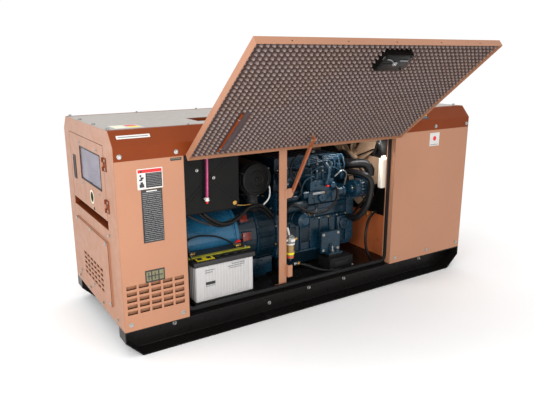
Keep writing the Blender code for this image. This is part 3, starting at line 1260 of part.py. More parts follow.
def make_air_cleaner(root):
    x = BLOCK_LEFT - CLEANER_BEFORE_BLOCK
    cleaner = cylinder("y", (x, CLEANER_FRONT, CLEANER_Z), CLEANER_LENGTH, CLEANER_RADIUS, 36)
    rim = cylinder("y", (x, CLEANER_FRONT + 0.035, CLEANER_Z), 0.014, CLEANER_RADIUS + 0.005, 36)
    outlet_y = CLEANER_FRONT + CLEANER_OUTLET_BACK
    outlet_z = CLEANER_Z - 0.145
    outlet = cylinder("z", (x, outlet_y, outlet_z), 0.08, CLEANER_OUTLET, 16)
    cleaner = fuse(cleaner, rim, outlet)
    inside = cylinder("y", (x, CLEANER_FRONT + SHEET, CLEANER_Z), CLEANER_LENGTH - 2 * SHEET,
                      CLEANER_RADIUS - SHEET, 36)
    throat = cylinder("z", (x, outlet_y, outlet_z - 0.01), 0.12, CLEANER_OUTLET - SHEET, 16)
    keep(carve(cleaner, inside, throat), "air_cleaner", "black_steel", root)


def make_muffler(root):
    """The drum, the tailpipe up to the roof, and the inlet pipe from the manifold."""
    left = MUFFLER_X + MUFFLER_PAST_TAIL - MUFFLER_LENGTH
    rise = BODY_HEIGHT - MUFFLER_Z
    drum = cylinder("x", (left, MUFFLER_Y, MUFFLER_Z), MUFFLER_LENGTH, MUFFLER_RADIUS, 32)
    tail = cylinder("z", (MUFFLER_X, MUFFLER_Y, MUFFLER_Z), rise, TAILPIPE, 20)
    inlet_x = MUFFLER_X - INLET_BACK
    inlet = cylinder("z", (inlet_x, MUFFLER_Y - 0.03, INLET_BOTTOM), 0.10, INLET_RADIUS, 16)
    elbow = box((inlet_x - ELBOW_HALF, SHAFT_Y + BLOCK_HALF + GAP, ELBOW_BOTTOM),
                (inlet_x + ELBOW_HALF, MUFFLER_Y, ELBOW_TOP))
    muffler = fuse(drum, tail, inlet, elbow)
    chamber = cylinder("x", (left + SHEET, MUFFLER_Y, MUFFLER_Z), MUFFLER_LENGTH - 2 * SHEET,
                       MUFFLER_RADIUS - SHEET, 32)
    bore = cylinder("z", (MUFFLER_X, MUFFLER_Y, MUFFLER_Z), rise + 0.02, TAILPIPE - SHEET, 20)
    keep(carve(muffler, chamber, bore), "muffler", "black_steel", root)


def main():
    for obj in list(bpy.data.objects):
        bpy.data.objects.remove(obj)
    collection = bpy.data.collections.new("generator_set")
    bpy.context.scene.collection.children.link(collection)
    root = bpy.data.objects.new("canopy_corner", None)
    collection.objects.link(root)
    root.location = (-LENGTH / 2, -DEPTH / 2, SKID_HEIGHT)
    door = joint_empty("front_door_hinge", (LENGTH / 2, -HINGE_OUT, HINGE_Z), root)

    make_skid(root)
    make_side_panels(root)
    make_end_panels(root)
    make_roof(root)
    make_post(root)
    make_seal(root)
    make_front_door(root, door)
    make_rear_door(root)
    make_control_end(root)
    make_fuel(root)
    make_battery(root)
    make_alternator(root)
    make_bell(root)
    make_engine(root)
    make_rotating(root)
    make_cooling(root)
    make_engine_mount(root)
    make_air_cleaner(root)
    make_muffler(root)
    door.rotation_euler.x = -math.radians(DOOR_OPEN_ANGLE)


main()
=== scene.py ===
"""The looks of the enclosed generator set: finishes, fastenings, foam, hoses and small parts."""
import math

import bmesh
import bpy
from mathutils import Matrix, Vector


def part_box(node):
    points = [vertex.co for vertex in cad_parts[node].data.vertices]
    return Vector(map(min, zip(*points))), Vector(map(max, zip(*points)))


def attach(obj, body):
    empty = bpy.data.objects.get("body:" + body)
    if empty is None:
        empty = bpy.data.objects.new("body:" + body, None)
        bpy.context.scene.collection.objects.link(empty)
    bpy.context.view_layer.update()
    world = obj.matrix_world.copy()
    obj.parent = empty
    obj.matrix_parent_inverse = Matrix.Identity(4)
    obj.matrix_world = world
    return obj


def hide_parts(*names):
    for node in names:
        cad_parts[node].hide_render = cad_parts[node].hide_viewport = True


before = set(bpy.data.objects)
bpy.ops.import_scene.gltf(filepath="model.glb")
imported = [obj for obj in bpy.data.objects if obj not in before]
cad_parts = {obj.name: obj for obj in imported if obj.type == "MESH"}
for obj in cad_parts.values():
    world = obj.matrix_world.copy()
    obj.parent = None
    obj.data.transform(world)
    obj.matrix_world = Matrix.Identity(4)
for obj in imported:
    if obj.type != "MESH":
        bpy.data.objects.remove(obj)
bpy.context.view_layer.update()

# Shapes are given from the canopy's left front corner at the top of the skid, in metres.
SKID_HEIGHT = 0.148
CORNER = Vector((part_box("skid_frame")[0].x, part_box("skid_frame")[0].y, SKID_HEIGHT))
AT = Matrix.Translation(CORNER)
HINGE = Vector((1.2295, -0.008, 0.868))
DOOR_ANGLE = math.radians(129.4)
DOOR = (AT @ Matrix.Translation(HINGE) @ Matrix.Rotation(-DOOR_ANGLE, 4, "X")
        @ Matrix.Translation(-HINGE))
LENGTH = 2.459
DEPTH = 0.926
TOP = 1.0
CHAMFER_IN = 0.0626
SHOULDER = 0.929
AXES = {"x": Vector((1, 0, 0)), "y": Vector((0, 1, 0)), "z": Vector((0, 0, 1)), "-x": Vector((-1, 0, 0)),
        "-y": Vector((0, -1, 0)), "-z": Vector((0, 0, -1))}


# ---- materials ----
def srgb(red, green, blue):
    values = []
    for value in (red, green, blue):
        value /= 255
        values.append(value / 12.92 if value <= 0.04045 else ((value + 0.055) / 1.055) ** 2.4)
    return (*values, 1)


def scaled(colour, by):
    return (*[min(1.0, max(0.0, value * by)) for value in colour[:3]], 1)


class Nodes:
    """Short calls for building one material's node tree."""

    def __init__(self, name):
        self.material = bpy.data.materials.new(name)
        self.material.use_nodes = True
        self.tree = self.material.node_tree
        self.shader = self.tree.nodes["Principled BSDF"]
        self.coord = self.tree.nodes.new("ShaderNodeTexCoord").outputs["Object"]

    def link(self, source, target):
        self.tree.links.new(source, target)

    def noise(self, scale, detail=3.0, rough=0.5, stretch=None):
        node = self.tree.nodes.new("ShaderNodeTexNoise")
        node.inputs["Scale"].default_value = scale
        node.inputs["Detail"].default_value = detail
        node.inputs["Roughness"].default_value = rough
        source = self.coord
        if stretch:
            mapping = self.tree.nodes.new("ShaderNodeMapping")
            mapping.inputs["Scale"].default_value = stretch
            self.link(source, mapping.inputs["Vector"])
            source = mapping.outputs["Vector"]
        self.link(source, node.inputs["Vector"])
        return node.outputs["Fac"]

    def remap(self, source, low, high, to_low, to_high):
        node = self.tree.nodes.new("ShaderNodeMapRange")
        for name, value in zip(("From Min", "From Max", "To Min", "To Max"),
                               (low, high, to_low, to_high)):
            node.inputs[name].default_value = value
        self.link(source, node.inputs["Value"])
        return node.outputs["Result"]

    def math(self, operation, first, second):
        node = self.tree.nodes.new("ShaderNodeMath")
        node.operation = operation
        for socket, value in zip(node.inputs, (first, second)):
            if isinstance(value, (int, float)):
                socket.default_value = value
            else:
                self.link(value, socket)
        return node.outputs["Value"]

    def mix(self, factor, first, second):
        node = self.tree.nodes.new("ShaderNodeMix")
        node.data_type = "RGBA"
        self.link(factor, node.inputs["Factor"])
        for name, value in (("A", first), ("B", second)):
            socket = [s for s in node.inputs if s.name == name and s.type == "RGBA"][0]
            if isinstance(value, tuple):
                socket.default_value = value
            else:
                self.link(value, socket)
        return [s for s in node.outputs if s.type == "RGBA"][0]

    def bump(self, height, strength, distance, normal=None):
        node = self.tree.nodes.new("ShaderNodeBump")
        node.inputs["Strength"].default_value = strength
        node.inputs["Distance"].default_value = distance
        self.link(height, node.inputs["Height"])
        if normal is not None:
            self.link(normal, node.inputs["Normal"])
        return node.outputs["Normal"]

    def soft_edge(self, radius):
        node = self.tree.nodes.new("ShaderNodeBevel")
        node.samples = 4
        node.inputs["Radius"].default_value = radius
        return node.outputs["Normal"]

    def separate(self):
        node = self.tree.nodes.new("ShaderNodeSeparateXYZ")
        self.link(self.coord, node.inputs["Vector"])
        return node.outputs


def finish(name, colour, rough, metallic=0.0, coat=0.0, vary=0.1, cloud=4.0, grain=0.12,
           grain_scale=900.0, grain_depth=0.0004, dirt=None, dirt_from=0.58, stretch=None, soft=0.0012,
           specular=0.5):
    """A finish with clouded colour, uneven gloss, a fine grain and, if asked, dirt in patches."""
    n = Nodes(name)
    shader = n.shader
    large = n.noise(cloud, 4.0, 0.55, stretch)
    colour_out = n.mix(n.remap(large, 0.35, 0.65, 0.0, 1.0), scaled(colour, 1 - vary),
                       scaled(colour, 1 + vary))
    if dirt:
        patch = n.remap(n.noise(cloud * 5, 6.0, 0.65, stretch), dirt_from, dirt_from + 0.16, 0.0, 0.75)
        colour_out = n.mix(patch, colour_out, dirt)
    n.link(colour_out, shader.inputs["Base Color"])
    gloss = n.remap(n.noise(cloud * 9, 5.0, 0.6, stretch), 0.3, 0.7, max(0.03, rough - 0.07),
                    min(1.0, rough + 0.09))
    n.link(gloss, shader.inputs["Roughness"])
    shader.inputs["Metallic"].default_value = metallic
    shader.inputs["Specular IOR Level"].default_value = specular
    shader.inputs["Coat Weight"].default_value = coat
    shader.inputs["Coat Roughness"].default_value = 0.12
    normal = n.soft_edge(soft) if soft else None
    n.link(n.bump(n.noise(grain_scale, 2.0), grain, grain_depth, normal), shader.inputs["Normal"])
    return n.material


SALMON = finish("salmon_paint", srgb(171, 121, 93), 0.42, vary=0.03, cloud=2.0, grain=0.1,
                dirt=srgb(160, 108, 82), dirt_from=0.66, specular=0.3)
TRIM = finish("trim_paint", srgb(120, 54, 24), 0.44, vary=0.05, cloud=2.0, dirt=srgb(104, 46, 24),
              dirt_from=0.66, specular=0.08)
ROOF = finish("roof_paint", srgb(170, 164, 158), 0.55, specular=0.3, vary=0.04, cloud=3.0, grain=0.35,
              grain_scale=420.0, grain_depth=0.0012, dirt=srgb(158, 152, 146), dirt_from=0.64)
SKID = finish("skid_paint", srgb(20, 18, 17), 0.3, vary=0.12, cloud=2.0, grain=0.08, grain_scale=120.0,
              grain_depth=0.001, dirt=srgb(26, 24, 22), dirt_from=0.7, specular=0.16)
BLACK = finish("black_steel", srgb(17, 16, 15), 0.36, vary=0.2, cloud=6.0, grain=0.15,
               dirt=srgb(26, 23, 21), dirt_from=0.66, specular=0.12)
# Engine enamel darkened below the paint's own tone, as painted shade for the inside of the canopy.
ENGINE = finish("engine_enamel", srgb(10, 42, 58), 0.24, vary=0.35, cloud=9.0, grain=0.4,
                grain_scale=240.0, grain_depth=0.0014, dirt=srgb(12, 24, 32), dirt_from=0.58, soft=0.004,
                specular=0.42)
ENGINE_DARK = finish("engine_enamel_dark", srgb(8, 30, 41), 0.3, vary=0.25, cloud=9.0, grain=0.4,
                     grain_scale=240.0, grain_depth=0.0014, dirt=srgb(9, 16, 21), dirt_from=0.58,
                     soft=0.004, specular=0.3)
# Alternator colour darkened as painted shade for the inside of the canopy.
ALTERNATOR = finish("alternator_enamel", srgb(34, 96, 130), 0.26, vary=0.1, cloud=5.0, grain=0.2,
                    grain_scale=300.0, dirt=srgb(20, 50, 70), dirt_from=0.62, soft=0.003, specular=0.45)
RUBBER = finish("rubber", srgb(22, 21, 21), 0.55, specular=0.3, vary=0.2, cloud=8.0, grain=0.35,
                grain_scale=500.0, grain_depth=0.0008)
HOSE = finish("hose_rubber", srgb(17, 16, 16), 0.34, specular=0.22, vary=0.2, cloud=10.0, grain=0.2,
              grain_scale=300.0)
ZINC = finish("zinc_plate", srgb(170, 170, 166), 0.28, metallic=0.9, vary=0.1, cloud=30.0, grain=0.15,
              soft=0.0008)
BRASS = finish("brass_passivate", srgb(190, 150, 80), 0.32, metallic=0.85, vary=0.15, cloud=30.0,
               grain=0.2)
STEEL = finish("bright_steel", srgb(150, 152, 154), 0.3, metallic=0.95, vary=0.1, cloud=20.0, grain=0.2,
               stretch=(1, 1, 12))
CASTING = finish("bare_casting", srgb(150, 150, 146), 0.5, metallic=0.7, vary=0.15, cloud=12.0, grain=0.5,
                 grain_scale=300.0, grain_depth=0.001)
# Battery case greyed down from white, as painted shade for the inside of the canopy.
BATTERY_WHITE = finish("battery_case_plastic", srgb(184, 181, 180), 0.35, vary=0.03, cloud=8.0,
                       grain=0.15, dirt=srgb(170, 164, 158), dirt_from=0.66)
BATTERY_GREY = finish("battery_lid_plastic", srgb(44, 42, 43), 0.42, specular=0.3, vary=0.08, cloud=12.0,
                      grain=0.25)
LABEL_GREY = finish("label_grey", srgb(120, 120, 122), 0.5, vary=0.05, cloud=30.0, grain=0.05, soft=0)
YELLOW = finish("yellow_passivate", srgb(178, 172, 52), 0.4, metallic=0.3, vary=0.15, cloud=25.0,
                dirt=srgb(110, 104, 34), dirt_from=0.6)
LABEL_YELLOW = finish("label_yellow", srgb(236, 214, 20), 0.45, vary=0.04, cloud=30.0, grain=0.05, soft=0)
LABEL_RED = finish("label_red", srgb(214, 22, 24), 0.45, vary=0.05, cloud=30.0, grain=0.05, soft=0)
LABEL_WHITE = finish("label_white", srgb(206, 204, 200), 0.42, vary=0.03, cloud=30.0, grain=0.05, soft=0)
LABEL_BLACK = finish("label_black", srgb(28, 27, 27), 0.4, vary=0.1, cloud=30.0, grain=0.05, soft=0)
LABEL_OLIVE = finish("label_olive", srgb(112, 108, 78), 0.42, vary=0.15, cloud=60.0, grain=0.1, soft=0)
LABEL_CREAM = finish("label_cream", srgb(228, 224, 196), 0.42, vary=0.05, cloud=30.0, grain=0.05, soft=0)
FAN_CREAM = finish("fan_plastic", srgb(178, 146, 118), 0.42, vary=0.06, cloud=8.0, grain=0.2,
                   dirt=srgb(136, 108, 84), dirt_from=0.66)
TANK_WHITE = finish("coolant_tank_plastic", srgb(222, 212, 196), 0.35, vary=0.05, cloud=10.0, grain=0.2,
                    dirt=srgb(190, 172, 150), dirt_from=0.62)
MAGENTA = finish("level_tube", srgb(160, 32, 92), 0.22, coat=0.5, vary=0.12, cloud=30.0, grain=0.05)
AMBER = finish("amber_bowl", srgb(150, 120, 66), 0.15, coat=0.6, vary=0.2, cloud=25.0, grain=0.05)
COPPER = finish("winding_varnish", srgb(120, 38, 22), 0.35, coat=0.4, vary=0.3, cloud=60.0, grain=0.6,
                grain_scale=200.0, grain_depth=0.002)
PLASTIC = finish("black_plastic", srgb(20, 20, 20), 0.45, specular=0.25, vary=0.15, cloud=20.0, grain=0.3,
                 grain_scale=700.0)
CORE = finish("radiator_core", srgb(36, 34, 32), 0.6, vary=0.2, cloud=10.0, grain=0.8, grain_scale=200.0,
              grain_depth=0.002, stretch=(1, 8, 1))
WOVEN = finish("braided_sleeve", srgb(44, 44, 46), 0.6, vary=0.2, cloud=60.0, grain=0.8,
               grain_scale=700.0, grain_depth=0.0012)
STAY = finish("stay_paint", srgb(158, 92, 62), 0.4, specular=0.2, vary=0.06, cloud=6.0, grain=0.15,
              dirt=srgb(120, 66, 44), dirt_from=0.62)
BAFFLE = finish("baffle_paint", srgb(196, 106, 62), 0.45, specular=0.2, vary=0.06, cloud=4.0, grain=0.15,
                dirt=srgb(124, 66, 42), dirt_from=0.6)
# Near-black painted shade standing in for the inside of holes, slots and recesses.
HOLE_SHADE = finish("dark_hole", srgb(10, 9, 9), 0.7, vary=0.2, cloud=30.0, grain=0.1, soft=0)
LINING = finish("rear_lining_foam", srgb(26, 23, 22), 0.95, vary=0.25, cloud=30.0, grain=0.9,
                grain_scale=160.0, grain_depth=0.004, soft=0)
METER = finish("meter_face", srgb(214, 212, 206), 0.3, vary=0.06, cloud=30.0, grain=0.05, soft=0)
PANEL_GREY = finish("panel_grey", srgb(150, 142, 148), 0.45, vary=0.06, cloud=8.0, grain=0.1)


def glass_finish():
    n = Nodes("tinted_window")
    shader = n.shader
    haze = n.noise(5.0, 4.0)
    n.link(n.mix(haze, srgb(128, 122, 142), srgb(158, 150, 166)), shader.inputs["Base Color"])
    n.link(n.remap(n.noise(40.0), 0.3, 0.7, 0.06, 0.16), shader.inputs["Roughness"])
    shader.inputs["IOR"].default_value = 1.49
    n.link(n.remap(haze, 0.3, 0.7, 0.55, 0.75), shader.inputs["Alpha"])
    n.link(n.bump(n.noise(30.0), 0.05, 0.0005), shader.inputs["Normal"])
    return n.material


WINDOW = glass_finish()
FOAM_PITCH_X = 0.0292
FOAM_PITCH_Z = 0.0255
FOAM_FLAT = 0.0095
FOAM_RISE = 0.0165
DOOR_NORMAL = (DOOR.to_3x3() @ Vector((0, 1, 0))).normalized()
DOOR_FACE = DOOR @ Vector((1.0, 0.0033, 0.4))


def foam_finish():
    """Open-cell foam: brown, with painted shade in the valleys and a blue-grey painted highlight on the
    crowns.
    """
    n = Nodes("acoustic_foam")
    shader = n.shader
    dot = n.tree.nodes.new("ShaderNodeVectorMath")
    dot.operation = "DOT_PRODUCT"
    n.link(n.coord, dot.inputs[0])
    dot.inputs[1].default_value = DOOR_NORMAL
    base = DOOR_FACE.dot(DOOR_NORMAL)
    # Painted highlight on the crowns and painted shade in the valleys, mixed by height over the door face.
    crown_highlight = n.remap(dot.outputs["Value"], base + FOAM_FLAT, base + FOAM_FLAT + FOAM_RISE, 0.0, 1.0)
    crown_highlight = n.math("ADD", crown_highlight, n.remap(n.noise(90.0, 4.0), 0.3, 0.7, -0.12, 0.12))
    low = n.mix(n.noise(5.0), srgb(56, 36, 27), srgb(74, 50, 37))
    high = n.mix(n.noise(3.0), srgb(152, 128, 110), srgb(142, 134, 136))
    n.link(n.mix(n.remap(crown_highlight, 0.25, 0.95, 0.0, 1.0), low, high), shader.inputs["Base Color"])
    n.link(n.remap(n.noise(200.0), 0.3, 0.7, 0.85, 1.0), shader.inputs["Roughness"])
    shader.inputs["Specular IOR Level"].default_value = 0.2
    shader.inputs["Sheen Weight"].default_value = 0.25
    shader.inputs["Sheen Roughness"].default_value = 0.6
    shader.inputs["Sheen Tint"].default_value = srgb(170, 180, 205)
    n.link(n.bump(n.noise(1400.0, 3.0), 0.5, 0.0012), shader.inputs["Normal"])
    return n.material


FOAM = foam_finish()


# ---- shapes ----
def turned(axis):
    return Vector((0, 0, 1)).rotation_difference(AXES[axis] if isinstance(axis,
                                                                          str) else axis).to_matrix().to_4x4()


def cad_box(node, inset=0.0):
    """The corners of a carried-over piece, from the canopy's corner and drawn in by the inset."""
    low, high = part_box(node)
    inset = Vector((inset, inset, inset))
    return Vector(low) - CORNER + inset, Vector(high) - CORNER - inset


def around(centre, radius, angle):
    """The two coordinates of a place on a circle."""
    return centre[0] + radius * math.cos(angle), centre[1] + radius * math.sin(angle)


def spun(place, angle, axis="X"):
    return Matrix.Translation(place) @ Matrix.Rotation(angle, 4, axis)


def smooth_path(points, steps=8):
    points = [Vector(p) for p in points]
    ends = [2 * points[0] - points[1], *points, 2 * points[-1] - points[-2]]
    path = []
    for a, b, c, d in zip(ends, ends[1:], ends[2:], ends[3:]):
        for step in range(steps):
            t = step / steps
            path.append(((2 * b) + (c - a) * t + (2 * a - 5 * b + 4 * c - d) * t * t
                         + (3 * b - a - 3 * c + d) * t ** 3) / 2)
    path.append(points[-1])
    return path


class Shape:
    """One mesh piece put together from rounded blocks, turned shapes and tubes."""

    def __init__(self):
        self.mesh = bmesh.new()
        self.materials = []

    def take(self, part, material, matrix=None):
        if material not in self.materials:
            self.materials.append(material)
        index = self.materials.index(material)
        for face in part.faces:
            face.material_index = index
            face.smooth = True
        if matrix is not None:
            bmesh.ops.transform(part, matrix=matrix, verts=part.verts)
        held = bpy.data.meshes.new("held")
        part.to_mesh(held)
        part.free()
        self.mesh.from_mesh(held)
        bpy.data.meshes.remove(held)
        return self

    def block(self, low, high, material, edge=0.002, matrix=None, segments=2):
        low = Vector(low)
        high = Vector(high)
        part = bmesh.new()
        bmesh.ops.create_cube(part, size=1.0,
                              matrix=Matrix.Translation((low + high) / 2)
                              @ Matrix.Diagonal((*(high - low), 1.0)))
        edge = min(edge, 0.45 * min(high - low))
        if edge > 0:
            bmesh.ops.bevel(part, geom=part.edges[:], offset=edge, segments=segments, profile=0.5,
                            affect="EDGES")
        return self.take(part, material, matrix)

    def lathe(self, start, axis, profile, material, sides=32, matrix=None):
        """Turns (along, radius) pairs round an axis; an end with a radius gets a flat cap."""
        part = bmesh.new()
        rings = []
        for along, radius in profile:
            if radius < 1e-6:
                rings.append([part.verts.new((0, 0, along))])
                continue
            rings.append([part.verts.new((radius * math.cos(math.tau * i / sides),
                                          radius * math.sin(math.tau * i / sides), along))
                          for i in range(sides)])
        for a, b in zip(rings, rings[1:]):
            for i in range(sides):
                j = (i + 1) % sides
                if len(a) == 1 and len(b) == 1:
                    continue
                if len(a) == 1:
                    part.faces.new((a[0], b[j], b[i]))
                elif len(b) == 1:
                    part.faces.new((a[i], a[j], b[0]))
                else:
                    part.faces.new((a[i], a[j], b[j], b[i]))
        if len(rings[0]) > 1:
            part.faces.new(rings[0][::-1])
        if len(rings[-1]) > 1:
            part.faces.new(rings[-1])
        bmesh.ops.recalc_face_normals(part, faces=part.faces)
        place = Matrix.Translation(start) @ turned(axis)
        return self.take(part, material, matrix @ place if matrix is not None else place)

    def rod(self, start, axis, length, radius, material, end=None, sides=24, edge=0.001, matrix=None):
        end = radius if end is None else end
        edge = min(edge, length * 0.45, radius * 0.45)
        profile = [(0, 0), (0, radius - edge), (edge, radius), (length - edge, end), (length, end - edge),
                   (length, 0)]
        return self.lathe(start, axis, profile, material, sides, matrix)

    def band(self, start, axis, width, inner, outer, material, sides, lead=0.001):
        """A ring round a pipe or a drum, with its edges drawn in."""
        profile = [(0, inner), (lead, outer), (width - lead, outer), (width, inner)]
        return self.lathe(start, axis, profile, material, sides)

    def tube(self, points, radius, material, sides=10, steps=8, ribs=0.0, matrix=None):
        path = smooth_path(points, steps)
        part = bmesh.new()
        rings = []
        side = None
        for k, place in enumerate(path):
            ahead = (path[min(k + 1, len(path) - 1)] - path[max(k - 1, 0)]).normalized()
            if side is None:
                side = ahead.orthogonal().normalized()
            side = (side - ahead * side.dot(ahead)).normalized()
            other = ahead.cross(side)
            size = radius * (1 + ribs * (k % 2))
            rings.append([part.verts.new(place + size
                                         * (math.cos(math.tau * i / sides) * side
                                            + math.sin(math.tau * i / sides) * other))
                          for i in range(sides)])
        for a, b in zip(rings, rings[1:]):
            for i in range(sides):
                j = (i + 1) % sides
                part.faces.new((a[i], a[j], b[j], b[i]))
        part.faces.new(rings[0][::-1])
        part.faces.new(rings[-1])
        bmesh.ops.recalc_face_normals(part, faces=part.faces)
        return self.take(part, material, matrix)

    def outline(self, points, axis, low, high, material, edge=0.001, matrix=None):
        """A flat outline, given as the other two coordinates in order, extruded along x, y or z."""
        part = bmesh.new()
        order = {"x": (1, 2, 0), "y": (0, 2, 1), "z": (0, 1, 2)}[axis]
        verts = []
        for u, v in points:
            place = [0.0, 0.0, 0.0]
            place[order[0]] = u
            place[order[1]] = v
            place[order[2]] = low
            verts.append(part.verts.new(place))
        face = part.faces.new(verts)
        grown = bmesh.ops.extrude_face_region(part, geom=[face])
        moved = [g for g in grown["geom"] if isinstance(g, bmesh.types.BMVert)]
        bmesh.ops.translate(part, verts=moved, vec=AXES[axis] * (high - low))
        bmesh.ops.recalc_face_normals(part, faces=part.faces)
        if edge > 0:
            rim = [e for e in part.edges if len(e.link_faces) == 2 and e.calc_face_angle(0) > 0.6]
            bmesh.ops.bevel(part, geom=rim, offset=edge, segments=1, profile=0.5, affect="EDGES")
        return self.take(part, material, matrix)

    def bolt(self, place, axis, size, material=ZINC, matrix=None, head=0.006):
        """A hexagon head with a chamfered top on a round washer."""
        washer = [(0, 0), (0, size * 1.02), (0.0018, size * 1.05), (0.0022, size * 0.95), (0.0022, 0)]
        self.lathe(place, axis, washer, material, 20, matrix)
        cap = [(0.002, 0), (0.002, size * 0.72), (0.002 + head * 0.75, size * 0.72),
               (0.002 + head, size * 0.58), (0.002 + head, 0)]
        return self.lathe(place, axis, cap, material, 6, matrix)

    def screw(self, place, axis, size, material=ZINC, matrix=None):
        """A domed screw head with a cross cut in it."""
        dome = [(0, 0), (0, size), (0.0012, size), (0.003, size * 0.75), (0.004, size * 0.4), (0.0042, 0)]
        self.lathe(place, axis, dome, material, 16, matrix)
        turn = Matrix.Translation(place) @ turned(axis)
        turn = matrix @ turn if matrix is not None else turn
        for low, high in (((-size * 0.5, -size * 0.09, 0.0032), (size * 0.5, size * 0.09, 0.0045)),
                          ((-size * 0.09, -size * 0.5, 0.0032), (size * 0.09, size * 0.5, 0.0045))):
            # The cross cut is drawn as painted shade.
            self.block(low, high, HOLE_SHADE, 0, turn)
        return self

    def done(self, name, body="body", matrix=AT, replaces=(), angle=38):
        mesh = bpy.data.meshes.new(name)
        self.mesh.to_mesh(mesh)
        self.mesh.free()
        mesh.transform(matrix)
        for material in self.materials:
            mesh.materials.append(material)
        mesh.set_sharp_from_angle(angle=math.radians(angle))
        obj = bpy.data.objects.new(name, mesh)
        bpy.context.scene.collection.objects.link(obj)
        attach(obj, body)
        if replaces:
            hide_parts(*replaces)
        return obj


# ---- carried-over CAD pieces ----
CARRIED = {
    "skid_frame": SKID, "front_left_panel": SALMON, "front_right_panel": SALMON, "rear_left_panel": SALMON,
    "rear_right_panel": SALMON, "left_end_panel": SALMON, "left_inspection_plate": SALMON,
    "right_end_panel": SALMON, "roof_trim_front": TRIM, "roof_trim_rear": TRIM, "roof_panel": ROOF,
    "filler_pocket": TRIM, "centre_post": SALMON, "door_seal": RUBBER, "door_hinge_left": BLACK,
    "door_hinge_right": BLACK, "door_skin": SALMON, "latch_housing": BLACK, "door_handle": BLACK,
    "latch_bolt": ZINC, "door_stay": STAY, "rear_door": SALMON, "control_box": TRIM,
    "breaker_body": PLASTIC, "breaker_lever": METER, "key_switch": ZINC, "control_door": SALMON,
    "control_window": WINDOW, "control_handle_cup": PLASTIC, "control_handle": PLASTIC,
    "control_hinge_lower": TRIM, "control_hinge_upper": TRIM, "fuel_tank": BLACK, "fuel_cap": ZINC,
    "battery_clamp": YELLOW, "alternator_housing": ALTERNATOR, "flywheel_housing": ENGINE_DARK,
    "engine_block": ENGINE, "cylinder_head": ENGINE_DARK, "oil_pan": ENGINE_DARK, "oil_filter": ENGINE,
    "injection_pump": ENGINE, "charging_alternator": ENGINE, "crankshaft": BLACK, "alternator_rotor": STEEL,
    "charging_pulley": STEEL, "drive_belt": RUBBER, "fan_shroud": BLACK, "radiator": CORE,
    "baffle_plate": BAFFLE, "radiator_hose": HOSE, "engine_mount": RUBBER, "air_cleaner": BLACK,
    "muffler": BLACK, "battery_case": BATTERY_WHITE, "battery_lid": BATTERY_GREY, "fan": FAN_CREAM,
    "coolant_tank": TANK_WHITE,
}
for node, material in CARRIED.items():
    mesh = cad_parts[node].data
    if not mesh.materials:
        mesh.materials.append(material)
    for index in range(len(mesh.materials)):
        mesh.materials[index] = material


# ---- camera and light ----
CAMERA_PLACE = (-1.9755, -2.9896, 1.4851)
CAMERA_YAW, CAMERA_PITCH, CAMERA_ROLL = 0.5599, -0.2522, 0.0031
CAMERA_LENS = 37.78


def make_camera():
    data = bpy.data.cameras.new("camera")
    camera = bpy.data.objects.new("camera", data)
    bpy.context.scene.collection.objects.link(camera)
    data.sensor_width = 36
    data.lens = CAMERA_LENS
    data.clip_start = 0.05
    data.clip_end = 60
    yaw, pitch = CAMERA_YAW, CAMERA_PITCH
    ahead = Vector((math.sin(yaw) * math.cos(pitch), math.cos(yaw) * math.cos(pitch), math.sin(pitch)))
    right = ahead.cross(Vector((0, 0, 1))).normalized()
    up = right.cross(ahead)
    turn = Matrix.Rotation(CAMERA_ROLL, 3, ahead)
    axes = Matrix((turn @ right, turn @ up, -ahead)).transposed().to_4x4()
    camera.matrix_world = Matrix.Translation(CAMERA_PLACE) @ axes
    bpy.context.scene.camera = camera


def make_lamp(name, place, aim, size, power, colour=(1, 1, 1)):
    data = bpy.data.lights.new(name, "AREA")
    data.shape = "RECTANGLE"
    data.size, data.size_y = size
    data.energy = power
    data.color = colour
    lamp = bpy.data.objects.new(name, data)
    bpy.context.scene.collection.objects.link(lamp)
    lamp.visible_camera = False
    lamp.location = place
    lamp.rotation_euler = (Vector(aim) - Vector(place)).to_track_quat("-Z", "Y").to_euler()


def make_studio():
    bm = bmesh.new()
    bmesh.ops.create_grid(bm, x_segments=8, y_segments=8, size=30)
    mesh = bpy.data.meshes.new("floor")
    bm.to_mesh(mesh)
    bm.free()
    floor = bpy.data.objects.new("floor", mesh)
    floor.location.z = -0.0005
    bpy.context.scene.collection.objects.link(floor)
    mesh.materials.append(finish("floor", (0.985, 0.985, 0.985, 1), 0.7, vary=0.005, grain=0.02, soft=0,
                                 specular=0.2))
    world = bpy.data.worlds.new("studio")
    world.use_nodes = True
    background = world.node_tree.nodes["Background"]
    background.inputs["Color"].default_value = (1, 1, 1, 1)
    background.inputs["Strength"].default_value = 1.03
    bpy.context.scene.world = world
    make_lamp("top_light", (-0.6, -0.6, 4.0), (-0.2, 0, 0.4), (3.0, 2.2), 22)
    make_lamp("front_left_light", (-2.0, -1.9, 1.3), (-1.1, -0.45, 0.55), (0.8, 0.8), 21)
    make_lamp("end_light", (-2.5, 2.0, 0.9), (-1.23, 0.0, 0.7), (1.2, 1.0), 5)
    make_lamp("inside_light", (-0.5, -2.4, 0.45), (0.1, 0, 0.45), (1.4, 0.4), 7)
    make_lamp("engine_light", (0.42, -0.375, 0.96), (0.45, 0.0, 0.5), (0.5, 0.05), 2.5)


make_camera()
make_studio()
bpy.context.scene.view_settings.view_transform = "Standard"


# ---- door ----
FOAM_LEFT, FOAM_RIGHT = 0.3555, 1.782
FOAM_BACK = 0.0033
FOAM_EDGE = 0.006
FOAM_STEPS = 7
HINGE_PLATES = (0.6107, 1.437)
HINGE_BOLTS = (0.016, 0.045, 0.074)


